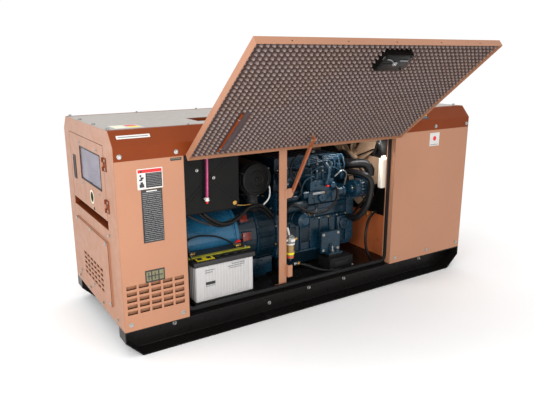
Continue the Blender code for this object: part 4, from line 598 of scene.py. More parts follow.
def foam_height(x, z, from_hinge, ends):
    """Height of the foam over its flat back at a place on the door, by bumps that fade at the edges."""
    bump = ((0.5 - 0.5 * math.cos(math.tau * x / FOAM_PITCH_X))
            * (0.5 - 0.5 * math.cos(math.tau * z / FOAM_PITCH_Z))) ** 0.8
    rim = min(x - ends[0], ends[1] - x, z - ends[2], ends[3] - z) / FOAM_EDGE
    rise = FOAM_RISE * max(0.0, min(1.0, 0.35 + 0.65 * rim))
    if 0.487 < x < 0.56 and 0.04 < from_hinge < 0.382:
        rise = 0.0
    return FOAM_FLAT + rise * bump


def make_foam(name, node, low_z, high_z, hole):
    """A bumpy sheet with a window, given by its x and z limits, for what stands through it."""
    columns = round((FOAM_RIGHT - FOAM_LEFT) / FOAM_PITCH_X * FOAM_STEPS)
    rows = round((high_z - low_z) / FOAM_PITCH_Z * FOAM_STEPS)
    bm = bmesh.new()
    grid = []
    for row in range(rows + 1):
        z = low_z + (high_z - low_z) * row / rows
        line = []
        for column in range(columns + 1):
            x = FOAM_LEFT + (FOAM_RIGHT - FOAM_LEFT) * column / columns
            height = foam_height(x, z, HINGE.z - z, (FOAM_LEFT, FOAM_RIGHT, low_z, high_z))
            line.append(bm.verts.new((x, FOAM_BACK + height, z)))
        grid.append(line)
    for row in range(rows):
        for column in range(columns):
            middle = (grid[row][column].co + grid[row + 1][column + 1].co) / 2
            if hole[0] < middle.x < hole[1] and hole[2] < middle.z < hole[3]:
                continue
            bm.faces.new((grid[row][column], grid[row + 1][column], grid[row + 1][column + 1],
                          grid[row][column + 1]))
    rim = [e for e in bm.edges if e.is_boundary]
    grown = bmesh.ops.extrude_edge_only(bm, edges=rim)
    for vert in (g for g in grown["geom"] if isinstance(g, bmesh.types.BMVert)):
        vert.co.y = FOAM_BACK + 0.0003
    loose = [v for v in bm.verts if not v.link_faces]
    bmesh.ops.delete(bm, geom=loose, context="VERTS")
    bmesh.ops.recalc_face_normals(bm, faces=bm.faces)
    sheet = Shape()
    sheet.take(bm, FOAM)
    sheet.done(name, "front_door", DOOR, (node,), 60)


def make_door_stiffener_rod():
    piece = Shape()
    piece.block((0.4885, 0.01, 0.488), (0.5585, 0.0145, 0.826), FOAM, 0.001)
    piece.tube([(0.512, 0.018, 0.5), (0.512, 0.0195, 0.54), (0.512, 0.0195, 0.66), (0.512, 0.0195, 0.79),
                (0.512, 0.018, 0.82)], 0.0062, TRIM, 12)
    for z in (0.54, 0.79):
        piece.block((0.502, 0.0125, z - 0.01), (0.524, 0.0165, z + 0.01), BLACK, 0.001)
        piece.tube([(0.504, 0.015, z), (0.507, 0.0245, z), (0.512, 0.0268, z), (0.517, 0.0245, z),
                    (0.52, 0.015, z)], 0.0016, ZINC, 8, 4)
    piece.done("door_stiffener_rod", "front_door", DOOR)


def make_latch_mechanism():
    """Latch mechanism on the inside of the door."""
    piece = Shape()
    piece.block((1.04, 0.0516, 0.0635), (1.197, 0.0532, 0.1635), BLACK, 0.001)
    piece.block((1.046, 0.0528, 0.112), (1.13, 0.055, 0.136), BLACK, 0.001)
    piece.rod((1.1185, 0.053, 0.1135), "y", 0.005, 0.013, STEEL, sides=20)
    piece.bolt((1.1185, 0.0575, 0.1135), "y", 0.007, head=0.004)
    piece.tube([(1.05, 0.056, 0.082), (1.075, 0.057, 0.086), (1.105, 0.057, 0.104)], 0.0028, STEEL, 8)
    for x, z in ((1.047, 0.071), (1.19, 0.071), (1.047, 0.156), (1.19, 0.156)):
        piece.screw((x, 0.053, z), "y", 0.0045, BLACK)
    for k in range(9):
        piece.rod((1.138 + 0.005 * k, 0.0556, 0.092), "x", 0.0028, 0.0042, STEEL, sides=12, edge=0.0008)
    piece.rod((1.132, 0.0556, 0.092), "x", 0.052, 0.0016, STEEL, sides=8, edge=0.0004)
    piece.done("latch_mechanism", "front_door", DOOR)


def make_door_outer_fastenings():
    """Drain holes of the door and the bolts of its hinge leaves."""
    piece = Shape()
    for x in (0.52, 0.8, 1.071, 1.35, 1.62):
        # Drain holes drawn as discs of painted shade.
        piece.lathe((x, 0.02, 0.0098), "-z", [(0, 0), (0, 0.003), (0.0003, 0.003), (0.0003, 0)], HOLE_SHADE, 14)
    for place in HINGE_PLATES:
        for dx in HINGE_BOLTS:
            piece.bolt((place + dx, -0.003, 0.838), "-y", 0.0058, head=0.0032)
    piece.done("door_outer_fastenings", "front_door", DOOR)


def make_hinge_bolts():
    """Hinge bolts on the canopy above both doors."""
    piece = Shape()
    for place in HINGE_PLATES:
        for dx in HINGE_BOLTS:
            piece.bolt((place + dx, -0.0033, 0.892), "-y", 0.0058, head=0.0032)
            piece.bolt((place + dx, DEPTH + 0.0033, 0.892), "y", 0.0058, head=0.0032)
    piece.done("hinge_bolts", "body")


def make_rear_door_latch():
    piece = Shape()
    for place in HINGE_PLATES:
        for dx in HINGE_BOLTS:
            piece.bolt((place + dx, DEPTH + 0.003, 0.838), "y", 0.0058, head=0.0032)
    piece.block((1.04, DEPTH, 0.05), (1.2, DEPTH + 0.004, 0.15), BLACK, 0.003)
    piece.lathe((1.12, DEPTH + 0.0035, 0.1), "y",
                [(0, 0.03), (0.003, 0.03), (0.003, 0.026), (0.001, 0.025), (0.001, 0)], BLACK, 28)
    piece.block((1.094, DEPTH + 0.0035, 0.092), (1.146, DEPTH + 0.008, 0.108), BLACK, 0.002)
    piece.done("rear_door_latch", "rear_door")


def make_stay_bolt_ends():
    """Washer and nut on the stay's upper end, given in the world's frame."""
    piece = Shape()
    pivot = Vector((-0.1845, -0.59837, 1.04841))
    piece.lathe(pivot + Vector((-0.0225, 0, 0)), "-x",
                [(0, 0), (0, 0.0105), (0.0012, 0.0108), (0.0014, 0)], ZINC, 20)
    piece.lathe(pivot + Vector((0.0142, 0, 0)), "x",
                [(0, 0), (0, 0.0075), (0.003, 0.007), (0.006, 0.004), (0.0065, 0)], ZINC, 20)
    piece.done("stay_bolt_ends", "front_door", Matrix.Identity(4))


make_foam("foam_sheet_hinge_side", "door_foam_upper", 0.4322, 0.854, (1.042, 1.054, 0.734, 0.764))
make_foam("foam_sheet_latch_side", "door_foam_lower", 0.014, 0.4286, (1.036, 1.201, 0.059, 0.168))
make_door_stiffener_rod()
make_latch_mechanism()
make_door_outer_fastenings()
make_hinge_bolts()
make_rear_door_latch()
make_stay_bolt_ends()


# ---- canopy fastenings ----
CORNER_BOLT = 0.0115
END_BOLT = 0.01
PROUD = 0.0002
GRILLE_ROWS = 5


def make_canopy_bolts():
    piece = Shape()
    for x, z in ((0.035, 0.036), (0.315, 0.034), (0.031, 0.885), (0.314, 0.885), (1.833, 0.035),
                 (2.127, 0.036), (2.425, 0.038), (2.138, 0.885), (2.437, 0.885)):
        piece.bolt((x, -PROUD, z), "-y", CORNER_BOLT)
        piece.bolt((x, DEPTH + PROUD, z), "y", CORNER_BOLT)
    for y, z in ((0.101, 0.03), (0.352, 0.03), (0.608, 0.03), (0.84, 0.03), (0.122, 0.972),
                 (0.357, 0.972), (0.625, 0.972), (0.845, 0.972)):
        if z < 0.5:
            piece.bolt((-PROUD, y, z), "-x", END_BOLT)
        piece.bolt((LENGTH + PROUD, y, z), "x", END_BOLT)
    for y, z in ((0.03, 0.3), (0.03, 0.62), (0.896, 0.3), (0.896, 0.62)):
        piece.bolt((LENGTH + PROUD, y, z), "x", END_BOLT)
    for y in (0.122, 0.357, 0.625, 0.845):
        for x in (0.022, LENGTH - 0.022):
            piece.bolt((x, y, TOP + PROUD), "z", CORNER_BOLT, head=0.008)
    for x in (0.42, 0.82, 1.23, 1.64, 2.04):
        for y in (0.082, DEPTH - 0.082):
            piece.bolt((x, y, TOP + PROUD), "z", 0.009)
    piece.done("canopy_bolts", "body")


def make_inspection_plate_fastenings():
    piece = Shape()
    for y, z in ((0.201, 0.411), (0.187, 0.089), (0.496, 0.086), (0.765, 0.086), (0.765, 0.414),
                 (0.48, 0.416)):
        piece.bolt((-0.0064, y, z), "-x", 0.0085)
    piece.bolt((-PROUD, 0.152, 0.468), "-x", 0.0085)
    piece.block((-0.0086, 0.168, 0.424), (-0.0062, 0.775, 0.427), TRIM, 0.0008)
    piece.block((-0.0086, 0.165, 0.08), (-0.0062, 0.168, 0.42), TRIM, 0.0008)
    piece.done("inspection_plate_fastenings", "body")


def make_grille_scoops():
    """Slanted scoops and upright strips behind the front left grille."""
    piece = Shape()
    wide = (0.3267 - 0.022 + 0.012) / GRILLE_ROWS
    tall = (0.242 - 0.088 + 0.012) / GRILLE_ROWS
    for row in range(GRILLE_ROWS):
        z = 0.088 + row * tall
        piece.outline([(0.0036, z + tall - 0.004), (0.02, z - 0.004), (0.0215, z - 0.004),
                       (0.0052, z + tall - 0.004)], "x", 0.016, 0.33, SALMON, 0)
    for column in range(GRILLE_ROWS + 1):
        x = 0.022 + column * wide - 0.0075
        piece.block((x, 0.0036, 0.082), (x + 0.003, 0.02, 0.25), SALMON, 0)
    piece.done("grille_scoops", "body")


def make_vent_baffles():
    piece = Shape()
    for row in range(6):
        z = 0.102 + row * 0.0288
        piece.block((0.01, 0.285, z), (0.0118, 0.69, z + 0.02), TRIM, 0)
    piece.block((0.018, 0.27, 0.09), (0.02, 0.7, 0.27), COPPER, 0)
    piece.done("vent_baffles", "body")


make_canopy_bolts()
make_inspection_plate_fastenings()
make_grille_scoops()
make_vent_baffles()


# ---- labels ----
LAYER = 0.00012


def decal(low, high, axis, depth, parts, name, matrix=AT):
    """A thin label with printed blocks on it; parts are (u0, v0, u1, v1, material) in fractions."""
    piece = Shape()
    for layer, (u0, v0, u1, v1, material) in enumerate(parts, 1):
        start, end = [(low[0] + (high[0] - low[0]) * u, low[1] + (high[1] - low[1]) * v)
                      for u, v in ((u0, v0), (u1, v1))]
        back = 0.0001
        face = 0.0005 + layer * LAYER
        if axis == "-y":
            piece.block((start[0], depth - face, start[1]), (end[0], depth - back, end[1]), material, 0)
        else:
            piece.block((*start, depth + back), (*end, depth + face), material, 0)
    piece.done(name, matrix=matrix)


def ruled(rows, u0, u1, v0, v1, material, seed, share):
    """Rows of broken strokes that stand for print without being any lettering."""
    found = []
    value = seed
    for row in range(rows):
        high = v1 - (v1 - v0) * row / rows
        low = high - (v1 - v0) / rows * share
        at = u0
        while at < u1 - 0.02:
            value = (value * 1103515245 + 12345) % 2147483648
            run = (u1 - u0) * (0.1 + 0.5 * (value / 2147483648)) / 3 * 2
            found.append((at, low, min(u1, at + run), high, material))
            value = (value * 1103515245 + 12345) % 2147483648
            at += run + (u1 - u0) * 0.015 * (1 + 2 * value / 2147483648)
    return found


def make_front_labels():
    decal((0.11, 0.718), (0.238, 0.818), "-y", 0.0,
          [(0, 0, 1, 1, LABEL_WHITE), (0.03, 0.8, 0.97, 0.96, LABEL_RED),
           (0.33, 0.06, 0.97, 0.78, LABEL_BLACK), (0.08, 0.42, 0.2, 0.5, LABEL_BLACK),
           (0.13, 0.5, 0.25, 0.6, LABEL_BLACK), (0.1, 0.62, 0.17, 0.72, LABEL_BLACK),
           (0.08, 0.1, 0.26, 0.26, LABEL_BLACK), (0.12, 0.26, 0.22, 0.36, LABEL_BLACK),
           (0.12, 0.83, 0.2, 0.92, LABEL_BLACK)] + ruled(8, 0.37, 0.93, 0.1, 0.74, LABEL_GREY, 7, 0.3),
          "label_caution")
    decal((0.125, 0.448), (0.232, 0.716), "-y", 0.0,
          [(0, 0, 1, 1, LABEL_BLACK), (0.25, 0.955, 0.75, 0.975, LABEL_WHITE)]
          + ruled(26, 0.06, 0.94, 0.02, 0.94, LABEL_GREY, 91, 0.32), "label_notes")
    decal((0.121, 0.241), (0.224, 0.305), "-y", 0.0,
          [(0, 0, 1, 1, LABEL_BLACK), (0.06, 0.12, 0.3, 0.88, LABEL_OLIVE),
           (0.36, 0.12, 0.66, 0.88, LABEL_OLIVE), (0.72, 0.12, 0.94, 0.88, LABEL_OLIVE),
           (0.1, 0.46, 0.9, 0.54, LABEL_BLACK), (0.16, 0.2, 0.2, 0.8, LABEL_BLACK),
           (0.48, 0.2, 0.52, 0.8, LABEL_BLACK)], "label_terminals")
    decal((0.282, 0.842), (0.34, 0.856), "-y", 0.0,
          [(0, 0, 1, 1, LABEL_BLACK)] + ruled(1, 0.06, 0.94, 0.3, 0.8, LABEL_OLIVE, 5, 0.6),
          "label_strip")
    decal((2.089, 0.757), (2.178, 0.843), "-y", 0.0,
          [(0, 0, 1, 1, LABEL_WHITE), (0.08, 0.08, 0.92, 0.13, LABEL_GREY)], "label_fire_point")


def make_label_fire_point_spot():
    piece = Shape()
    piece.lathe((2.1335, -0.0008, 0.806), "-y", [(0, 0), (0, 0.015), (0.0003, 0.015), (0.0003, 0)],
                LABEL_RED, 32)
    piece.done("label_fire_point_spot", "body")


def make_roof_label():
    decal((0.06, 0.12), (0.2, 0.25), "z", TOP,
          [(0, 0, 1, 1, LABEL_WHITE), (0.05, 0.1, 0.45, 0.9, LABEL_CREAM),
           (0.55, 0.1, 0.95, 0.45, LABEL_YELLOW), (0.55, 0.55, 0.95, 0.9, LABEL_RED)], "label_roof")

# the slope of the roof edge
SLOPE = math.atan2(TOP - SHOULDER, CHAMFER_IN)
CHAMFER = AT @ Matrix.Translation((0, 0, SHOULDER)) @ Matrix.Rotation(SLOPE - math.pi / 2, 4, "X")


def make_chamfer_labels():
    decal((0.034, 0.042), (0.198, 0.066), "-y", 0.0,
          [(0.0, 0.1, 1.0, 0.9, LABEL_WHITE), (0.05, 0.4, 0.95, 0.6, LABEL_GREY)], "chamfer_stripe",
          matrix=CHAMFER)
    decal((1.985, 0.01), (2.075, 0.058), "-y", 0.0,
          [(0, 0, 1, 1, LABEL_BLACK), (0.06, 0.52, 0.94, 0.82, LABEL_YELLOW),
           (0.04, 0.08, 0.34, 0.46, LABEL_WHITE), (0.4, 0.14, 0.92, 0.22, LABEL_GREY),
           (0.4, 0.32, 0.92, 0.4, LABEL_GREY)], "label_chamfer", matrix=CHAMFER)


make_front_labels()
make_label_fire_point_spot()
make_roof_label()
make_chamfer_labels()


# ---- control end ----


def make_control_door_fastenings():
    piece = Shape()
    for y, z in ((0.592, 0.882), (0.266, 0.883), (0.579, 0.659), (0.26, 0.658)):
        piece.screw((-PROUD, y, z), "-x", 0.0085)
    piece.lathe((-PROUD, 0.412, 0.614), "-x",
                [(0, 0), (0, 0.0375), (0.0008, 0.0378), (0.001, 0.0345), (0.0007, 0.0335), (0.0007, 0)],
                LABEL_CREAM, 40)
    for k in range(3):
        piece.lathe((-0.0009, 0.412, 0.614), "-x",
                    [(0, 0.012 + 0.007 * k), (0.0004, 0.0122 + 0.007 * k), (0.0004, 0.0134 + 0.007 * k),
                     (0, 0.0136 + 0.007 * k)], LABEL_OLIVE, 40)
    piece.rod((-0.001, 0.385, 0.556), "x", 0.006, 0.0095, BLACK, sides=20)
    # Key slot drawn as painted shade.
    piece.block((-0.0022, 0.3825, 0.55), (-0.0008, 0.3875, 0.562), HOLE_SHADE, 0.0003)
    low, high = (0.214, 0.681), (0.601, 0.864)
    for a, b in (((low[0], low[1]), (high[0], low[1] + 0.006)),
                 ((low[0], high[1] - 0.006), (high[0], high[1])),
                 ((low[0], low[1]), (low[0] + 0.006, high[1])),
                 ((high[0] - 0.006, low[1]), (high[0], high[1]))):
        piece.block((-0.0016, a[0], a[1]), (0.0034, b[0], b[1]), RUBBER, 0.0008)
    piece.done("control_door_fastenings", "control_door")


def make_control_hinge_screws():
    piece = Shape()
    for low_z in (0.59, 0.799):
        for dz in (0.012, 0.054):
            piece.screw((-0.0033, 0.124, low_z + dz), "-x", 0.0065)
    piece.done("control_hinge_screws", "body")


def make_control_panel_instruments():
    piece = Shape()
    piece.block((0.074, 0.17, 0.7), (0.0845, 0.61, 0.905), PANEL_GREY, 0.002)
    for y, z in ((0.235, 0.835), (0.315, 0.835), (0.395, 0.835)):
        piece.block((0.064, y - 0.032, z - 0.032), (0.0745, y + 0.032, z + 0.032), PLASTIC, 0.003)
        piece.block((0.0632, y - 0.027, z - 0.02), (0.0642, y + 0.027, z + 0.027), METER, 0.0005)
        piece.tube([(0.0625, y + 0.012, z - 0.016), (0.0625, y, z + 0.004),
                    (0.0625, y - 0.01, z + 0.016)], 0.0007, LABEL_BLACK, 6)
    piece.block((0.058, 0.465, 0.78), (0.0745, 0.59, 0.88), PLASTIC, 0.004)
    piece.block((0.0574, 0.48, 0.82), (0.0584, 0.575, 0.868), METER, 0.0005)
    for k in range(4):
        piece.rod((0.053, 0.49 + 0.025 * k, 0.797), "x", 0.006, 0.006, STEEL if k else LABEL_RED,
                  sides=16)
    for k in range(5):
        piece.rod((0.062, 0.225 + 0.04 * k, 0.76), "x", 0.014, 0.007, LABEL_RED if k % 2 else METER,
                  sides=16)
    piece.block((0.07, 0.18, 0.72), (0.0745, 0.6, 0.738), LABEL_WHITE, 0.0005)
    for y in (0.18, 0.6):
        for z in (0.71, 0.895):
            piece.screw((0.0738, y, z), "-x", 0.004)
    for k in range(6):
        piece.tube([(0.083, 0.48 + 0.012 * k, 0.6), (0.07, 0.485 + 0.012 * k, 0.59),
                    (0.066, 0.49 + 0.012 * k, 0.57), (0.08, 0.49 + 0.012 * k, 0.548)], 0.0022, PLASTIC, 6)
    piece.done("control_panel_instruments", "body")


make_control_door_fastenings()
make_control_hinge_screws()
make_control_panel_instruments()


# ---- battery ----
BATTERY = cad_box("battery_case", 0.0002)


def make_battery_case_ribbed():
    piece = Shape()
    low, high = BATTERY
    piece.block((low.x, low.y, low.z), (high.x, high.y, high.z), BATTERY_WHITE, 0.006, segments=3)
    for k in range(15):
        x = low.x + 0.05 + k * 0.018
        piece.block((x, low.y - 0.0022, low.z + 0.012), (x + 0.012, low.y + 0.003, high.z - 0.006),
                    BATTERY_WHITE, 0.0015)
    for x in (low.x + 0.004, high.x - 0.03):
        piece.block((x, low.y - 0.003, low.z + 0.004), (x + 0.026, low.y + 0.003, high.z - 0.002),
                    BATTERY_WHITE, 0.0025)
    for k in range(6):
        y = low.y + 0.02 + k * 0.023
        for x in (low.x - 0.0018, high.x - 0.0012):
            piece.block((x, y, low.z + 0.012), (x + 0.003, y + 0.014, high.z - 0.006), BATTERY_WHITE,
                        0.0012)
    piece.done("battery_case_ribbed", "body", replaces=("battery_case",))


def make_battery_lid_and_terminals():
    piece = Shape()
    low, high = BATTERY
    piece.block((low.x - 0.01, low.y - 0.01, high.z + 0.0004),
                (high.x + 0.01, high.y + 0.01, high.z + 0.0282), BATTERY_GREY, 0.004, segments=3)
    piece.block((low.x + 0.01, low.y + 0.01, high.z + 0.0275),
                (high.x - 0.01, low.y + 0.058, high.z + 0.03), BLACK, 0.001)
    for k in range(6):
        piece.lathe((low.x + 0.045 + k * 0.054, low.y + 0.034, high.z + 0.0295), "z",
                    [(0, 0.015), (0.003, 0.0145), (0.0038, 0.012), (0.003, 0.008), (0.003, 0)],
                    BATTERY_GREY, 20)
    for x in (low.x + 0.035, high.x - 0.035):
        piece.lathe((x, low.y + 0.12, high.z + 0.027), "z",
                    [(0, 0.014), (0.003, 0.014), (0.004, 0.0095), (0.018, 0.0085), (0.019, 0.0075),
                     (0.019, 0)], STEEL, 20)
        piece.block((x - 0.017, low.y + 0.103, high.z + 0.032),
                    (x + 0.017, low.y + 0.137, high.z + 0.042), BRASS, 0.003)
        piece.bolt((x + 0.019, low.y + 0.128, high.z + 0.0375), "x", 0.0058, BRASS)
        piece.block((x - 0.008, low.y + 0.134, high.z + 0.033),
                    (x + 0.008, low.y + 0.158, high.z + 0.041), BRASS, 0.002)
    piece.done("battery_lid_and_terminals", "body", replaces=("battery_lid",))


def make_battery_leads():
    piece = Shape()
    low, high = BATTERY
    for x in (low.x + 0.01, high.x - 0.01):
        piece.bolt((x, low.y + 0.071, high.z + 0.0352), "z", 0.0072)
    piece.tube([(high.x - 0.035, low.y + 0.15, high.z + 0.032),
                (high.x - 0.01, low.y + 0.165, high.z + 0.04),
                (high.x + 0.012, low.y + 0.17, high.z + 0.038)], 0.0085, LABEL_RED, 12)
    piece.tube([(high.x + 0.01, low.y + 0.17, high.z + 0.038),
                (high.x + 0.05, low.y + 0.18, high.z + 0.03),
                (high.x + 0.075, low.y + 0.2, high.z - 0.02),
                (high.x + 0.08, low.y + 0.22, high.z - 0.1)], 0.0065, HOSE)
    piece.tube([(low.x + 0.035, low.y + 0.15, high.z + 0.032),
                (low.x + 0.018, low.y + 0.16, high.z + 0.055),
                (low.x + 0.03, low.y + 0.185, high.z + 0.088),
                (low.x + 0.1, low.y + 0.178, high.z + 0.112),
                (low.x + 0.2, low.y + 0.172, high.z + 0.098),
                (low.x + 0.27, low.y + 0.16, high.z + 0.068),
                (high.x - 0.055, low.y + 0.15, high.z + 0.04)], 0.0048, HOSE)
    piece.tube([(low.x + 0.005, low.y + 0.06, high.z + 0.035),
                (low.x - 0.012, low.y + 0.03, high.z + 0.06),
                (low.x - 0.022, low.y + 0.05, high.z + 0.11), (low.x - 0.03, low.y + 0.1, high.z + 0.16)],
               0.0045, HOSE)
    piece.done("battery_leads", "body")


def make_battery_labels():
    low, high = BATTERY
    decal((low.x + 0.052, low.z + 0.15), (high.x - 0.052, low.z + 0.19), "-y", low.y - 0.0022,
          [(0.02, 0.62, 0.24, 0.74, LABEL_GREY), (0.02, 0.3, 0.2, 0.42, LABEL_GREY),
           (0.66, 0.86, 0.98, 0.98, LABEL_GREY), (0.56, 0.56, 0.98, 0.66, LABEL_GREY),
           (0.6, 0.3, 0.9, 0.38, LABEL_GREY)], "battery_print")
    decal((low.x + 0.06, low.z + 0.084), (low.x + 0.118, low.z + 0.11), "-y", low.y - 0.0022,
          [(0.0, 0.35, 1.0, 1.0, LABEL_BLACK), (0.0, 0.0, 1.0, 0.14, LABEL_GREY)], "battery_mark")
    decal((low.x + 0.02, low.y + 0.004), (low.x + 0.125, low.y + 0.05), "z", high.z + 0.0302,
          [(0, 0, 1, 1, LABEL_YELLOW), (0.08, 0.35, 0.24, 0.65, LABEL_BLACK)], "battery_sticker")


make_battery_case_ribbed()
make_battery_lid_and_terminals()
make_battery_leads()
make_battery_labels()


# ---- fuel tank ----


def make_fuel_tank_fittings():
    piece = Shape()
    left, right, low, high, face = 0.365, 0.727, 0.517, 0.892, 0.1248
    for a, b in (((0.02, 0.04), (0.355, 0.335)), ((0.02, 0.335), (0.355, 0.04))):
        start = Vector((left + a[0], face + 0.0012, low + a[1]))
        end = Vector((left + b[0], face + 0.0012, low + b[1]))
        side = Vector((0, 1, 0)).cross(end - start).normalized() * 0.01
        for shift in (side, -side):
            piece.tube([start + shift, (start + end) / 2 + shift, end + shift], 0.0022, BLACK, 8, 3)
    for x, z in ((0.478, 0.752), (0.575, 0.702)):
        piece.bolt((x, face - 0.0002, z), "-y", 0.0085)
    outline = []
    for x, z, start in ((right, high, 0), (left, high, 90), (left, low, 180), (right, low, 270)):
        cx = x - 0.046 if x == right else x + 0.046
        cz = z - 0.046 if z == high else z + 0.046
        for step in range(7):
            angle = math.radians(start + 15 * step)
            outline.append((cx + 0.052 * math.cos(angle), 0.1388, cz + 0.052 * math.sin(angle)))
    outline.append(outline[0])
    piece.tube(outline, 0.0032, BLACK, 8, 2)
    for k in range(18):
        x = left + 0.03 + k * 0.0185
        piece.block((x, 0.136, low - 0.0072), (x + 0.004, 0.142, low - 0.006), BLACK, 0)
    piece.rod((right - 0.028, 0.118, low + 0.03), "y", 0.012, 0.012, BRASS, sides=20)
    piece.rod((0.4, 0.35, high - 0.002), "z", 0.016, 0.028, ZINC, sides=28)
    piece.rod((0.46, 0.5, high - 0.002), "z", 0.03, 0.012, BRASS, sides=16)
    piece.done("fuel_tank_fittings", "body")


def make_fuel_level_tube():
    piece = Shape()
    piece.tube([(0.526, 0.1, 0.912), (0.526, 0.1, 0.85), (0.525, 0.1, 0.76), (0.5225, 0.1, 0.66),
                (0.5205, 0.1, 0.6)], 0.0078, MAGENTA, 16)
    for z in (0.595, 0.905):
        piece.rod((0.5205 if z < 0.7 else 0.526, 0.1, z - 0.01), "z", 0.02, 0.0105, METER, sides=20)
        piece.rod((0.5205 if z < 0.7 else 0.526, 0.1, z - 0.002), "y", 0.026, 0.0075, METER, sides=16)
    piece.rod((0.5205, 0.1, 0.572), "z", 0.014, 0.0065, LABEL_RED, sides=16)
    piece.block((0.508, 0.094, 0.586), (0.533, 0.106, 0.592), METER, 0.002)
    piece.done("fuel_level_tube", "body")


make_fuel_tank_fittings()
make_fuel_level_tube()


# ---- air cleaner ----


def make_air_cleaner_cover():
    piece = Shape()
    centre = (0.8662, 0.1598, 0.652)
    profile = [(0.0, 0.094), (-0.004, 0.093), (-0.0065, 0.089), (-0.007, 0.078), (-0.004, 0.075),
               (-0.004, 0.052), (-0.0075, 0.049), (-0.008, 0.04), (-0.005, 0.037), (-0.0055, 0.015),
               (-0.011, 0.012), (-0.013, 0.006), (-0.013, 0)]
    piece.lathe(centre, "y", profile, BLACK, 56)
    for k in range(2):
        piece.band((centre[0], centre[1] + 0.02 + 0.034 * k, centre[2]), "y", 0.006, 0.0938, 0.0965,
                   BLACK, 56, 0.0015)
    for angle in (35, 155, 275):
        a = math.radians(angle)
        out = Vector((math.cos(a), 0, math.sin(a)))
        spot = Vector(centre) + out * 0.0975
        piece.tube([spot + Vector((0, 0.0, 0)), spot + out * 0.004 + Vector((0, 0.012, 0)),
                    spot + out * 0.0045 + Vector((0, 0.03, 0)), spot + Vector((0, 0.044, 0))], 0.0024,
                   STEEL, 8)
    piece.tube([(0.8662, 0.22, 0.58), (0.8662, 0.215, 0.54), (0.869, 0.215, 0.5), (0.89, 0.235, 0.47),
                (0.915, 0.27, 0.455)], 0.03, RUBBER, 20, 8, 0.08)
    piece.band((0.8662, 0.22, 0.552), "z", 0.011, 0.0305, 0.0325, ZINC, 28)
    piece.done("air_cleaner_cover", "body")


make_air_cleaner_cover()


# ---- alternator and flywheel housing ----
SHAFT = (0.44, 0.27)


def make_alternator_rings():
    piece = Shape()
    for x in (0.431, 0.452, 0.77):
        piece.band((x, *SHAFT), "x", 0.009, 0.1795, 0.1832, ALTERNATOR, 72)
    for k in range(44):
        a = math.tau * k / 44
        place = Vector((0.4625, *around(SHAFT, 0.18, a)))
        turn = spun(place, a)
        if 0.05 < place.z:
            # Vent slots drawn as painted shade.
            piece.block((-0.004, -0.0012, -0.004), (0.004, 0.0016, 0.004), HOLE_SHADE, 0, turn)
    piece.block((0.52, 0.36, 0.444), (0.69, 0.52, 0.492), ALTERNATOR, 0.005)
    piece.block((0.516, 0.356, 0.49), (0.694, 0.524, 0.496), ALTERNATOR, 0.003)
    for x in (0.528, 0.682):
        for y in (0.368, 0.512):
            piece.bolt((x, y, 0.496), "z", 0.006)
    piece.tube([(0.6, 0.44, 0.452), (0.6, 0.415, 0.475), (0.6, 0.44, 0.5), (0.6, 0.465, 0.475),
                (0.6, 0.44, 0.452)], 0.006, ALTERNATOR, 10)
    for a in (-150, -125, -100, 160, 135):
        t = math.radians(a)
        piece.bolt((0.8002, *around(SHAFT, 0.176, t)), "x", 0.0075)
    piece.done("alternator_rings", "body")


def make_flywheel_housing_ribs():
    piece = Shape()
    for k in range(20):
        a = math.tau * k / 20
        turn = spun((0, *SHAFT), a)
        piece.block((0.905, -0.004, 0.2135), (1.04, 0.004, 0.224), ENGINE_DARK, 0.002, turn)
        if k % 2 == 0:
            piece.bolt((0.9035, 0, 0.205), "-x", 0.0075, BRASS if k % 4 else ZINC, matrix=turn)
    for x, radius in ((0.904, 0.226), (1.04, 0.229)):
        piece.band((x, *SHAFT), "x", 0.0125, 0.214, radius, ENGINE, 72, 0.0005)
    for k in range(12):
        a = math.tau * (k + 0.5) / 12
        piece.bolt((1.0398, *around(SHAFT, 0.2215, a)), "-x", 0.0068, ZINC if k % 3 else BRASS)
    for a in (20, 52, 84, 116, 148):
        turn = spun((0.85, *SHAFT), math.radians(a))
        piece.block((-0.034, -0.026, 0.191), (0.03, 0.026, 0.2025), COPPER, 0.003, turn)
        piece.block((-0.04, -0.03, 0.19), (0.036, -0.024, 0.2045), ENGINE, 0.002, turn)
        piece.block((-0.04, 0.024, 0.19), (0.036, 0.03, 0.2045), ENGINE, 0.002, turn)
    for z, x in ((0.07, 0.93), (0.11, 0.96), (0.055, 0.985)):
        piece.bolt((x, 0.27, z), "-y", 0.0075, BRASS)
    piece.block((0.885, 0.262, 0.02), (1.035, 0.285, 0.13), ENGINE, 0.006)
    piece.done("flywheel_housing_ribs", "body")


make_alternator_rings()
make_flywheel_housing_ribs()


# ---- engine ----
BLOCK_LEFT = round(cad_box("engine_block")[0].x, 4)
BLOCK_RIGHT = round(BLOCK_LEFT + 0.6, 4)
BLOCK_FACE = 0.25
GEAR_FACE = BLOCK_FACE - 0.0003
PUMP_LEFT = BLOCK_LEFT + 0.19


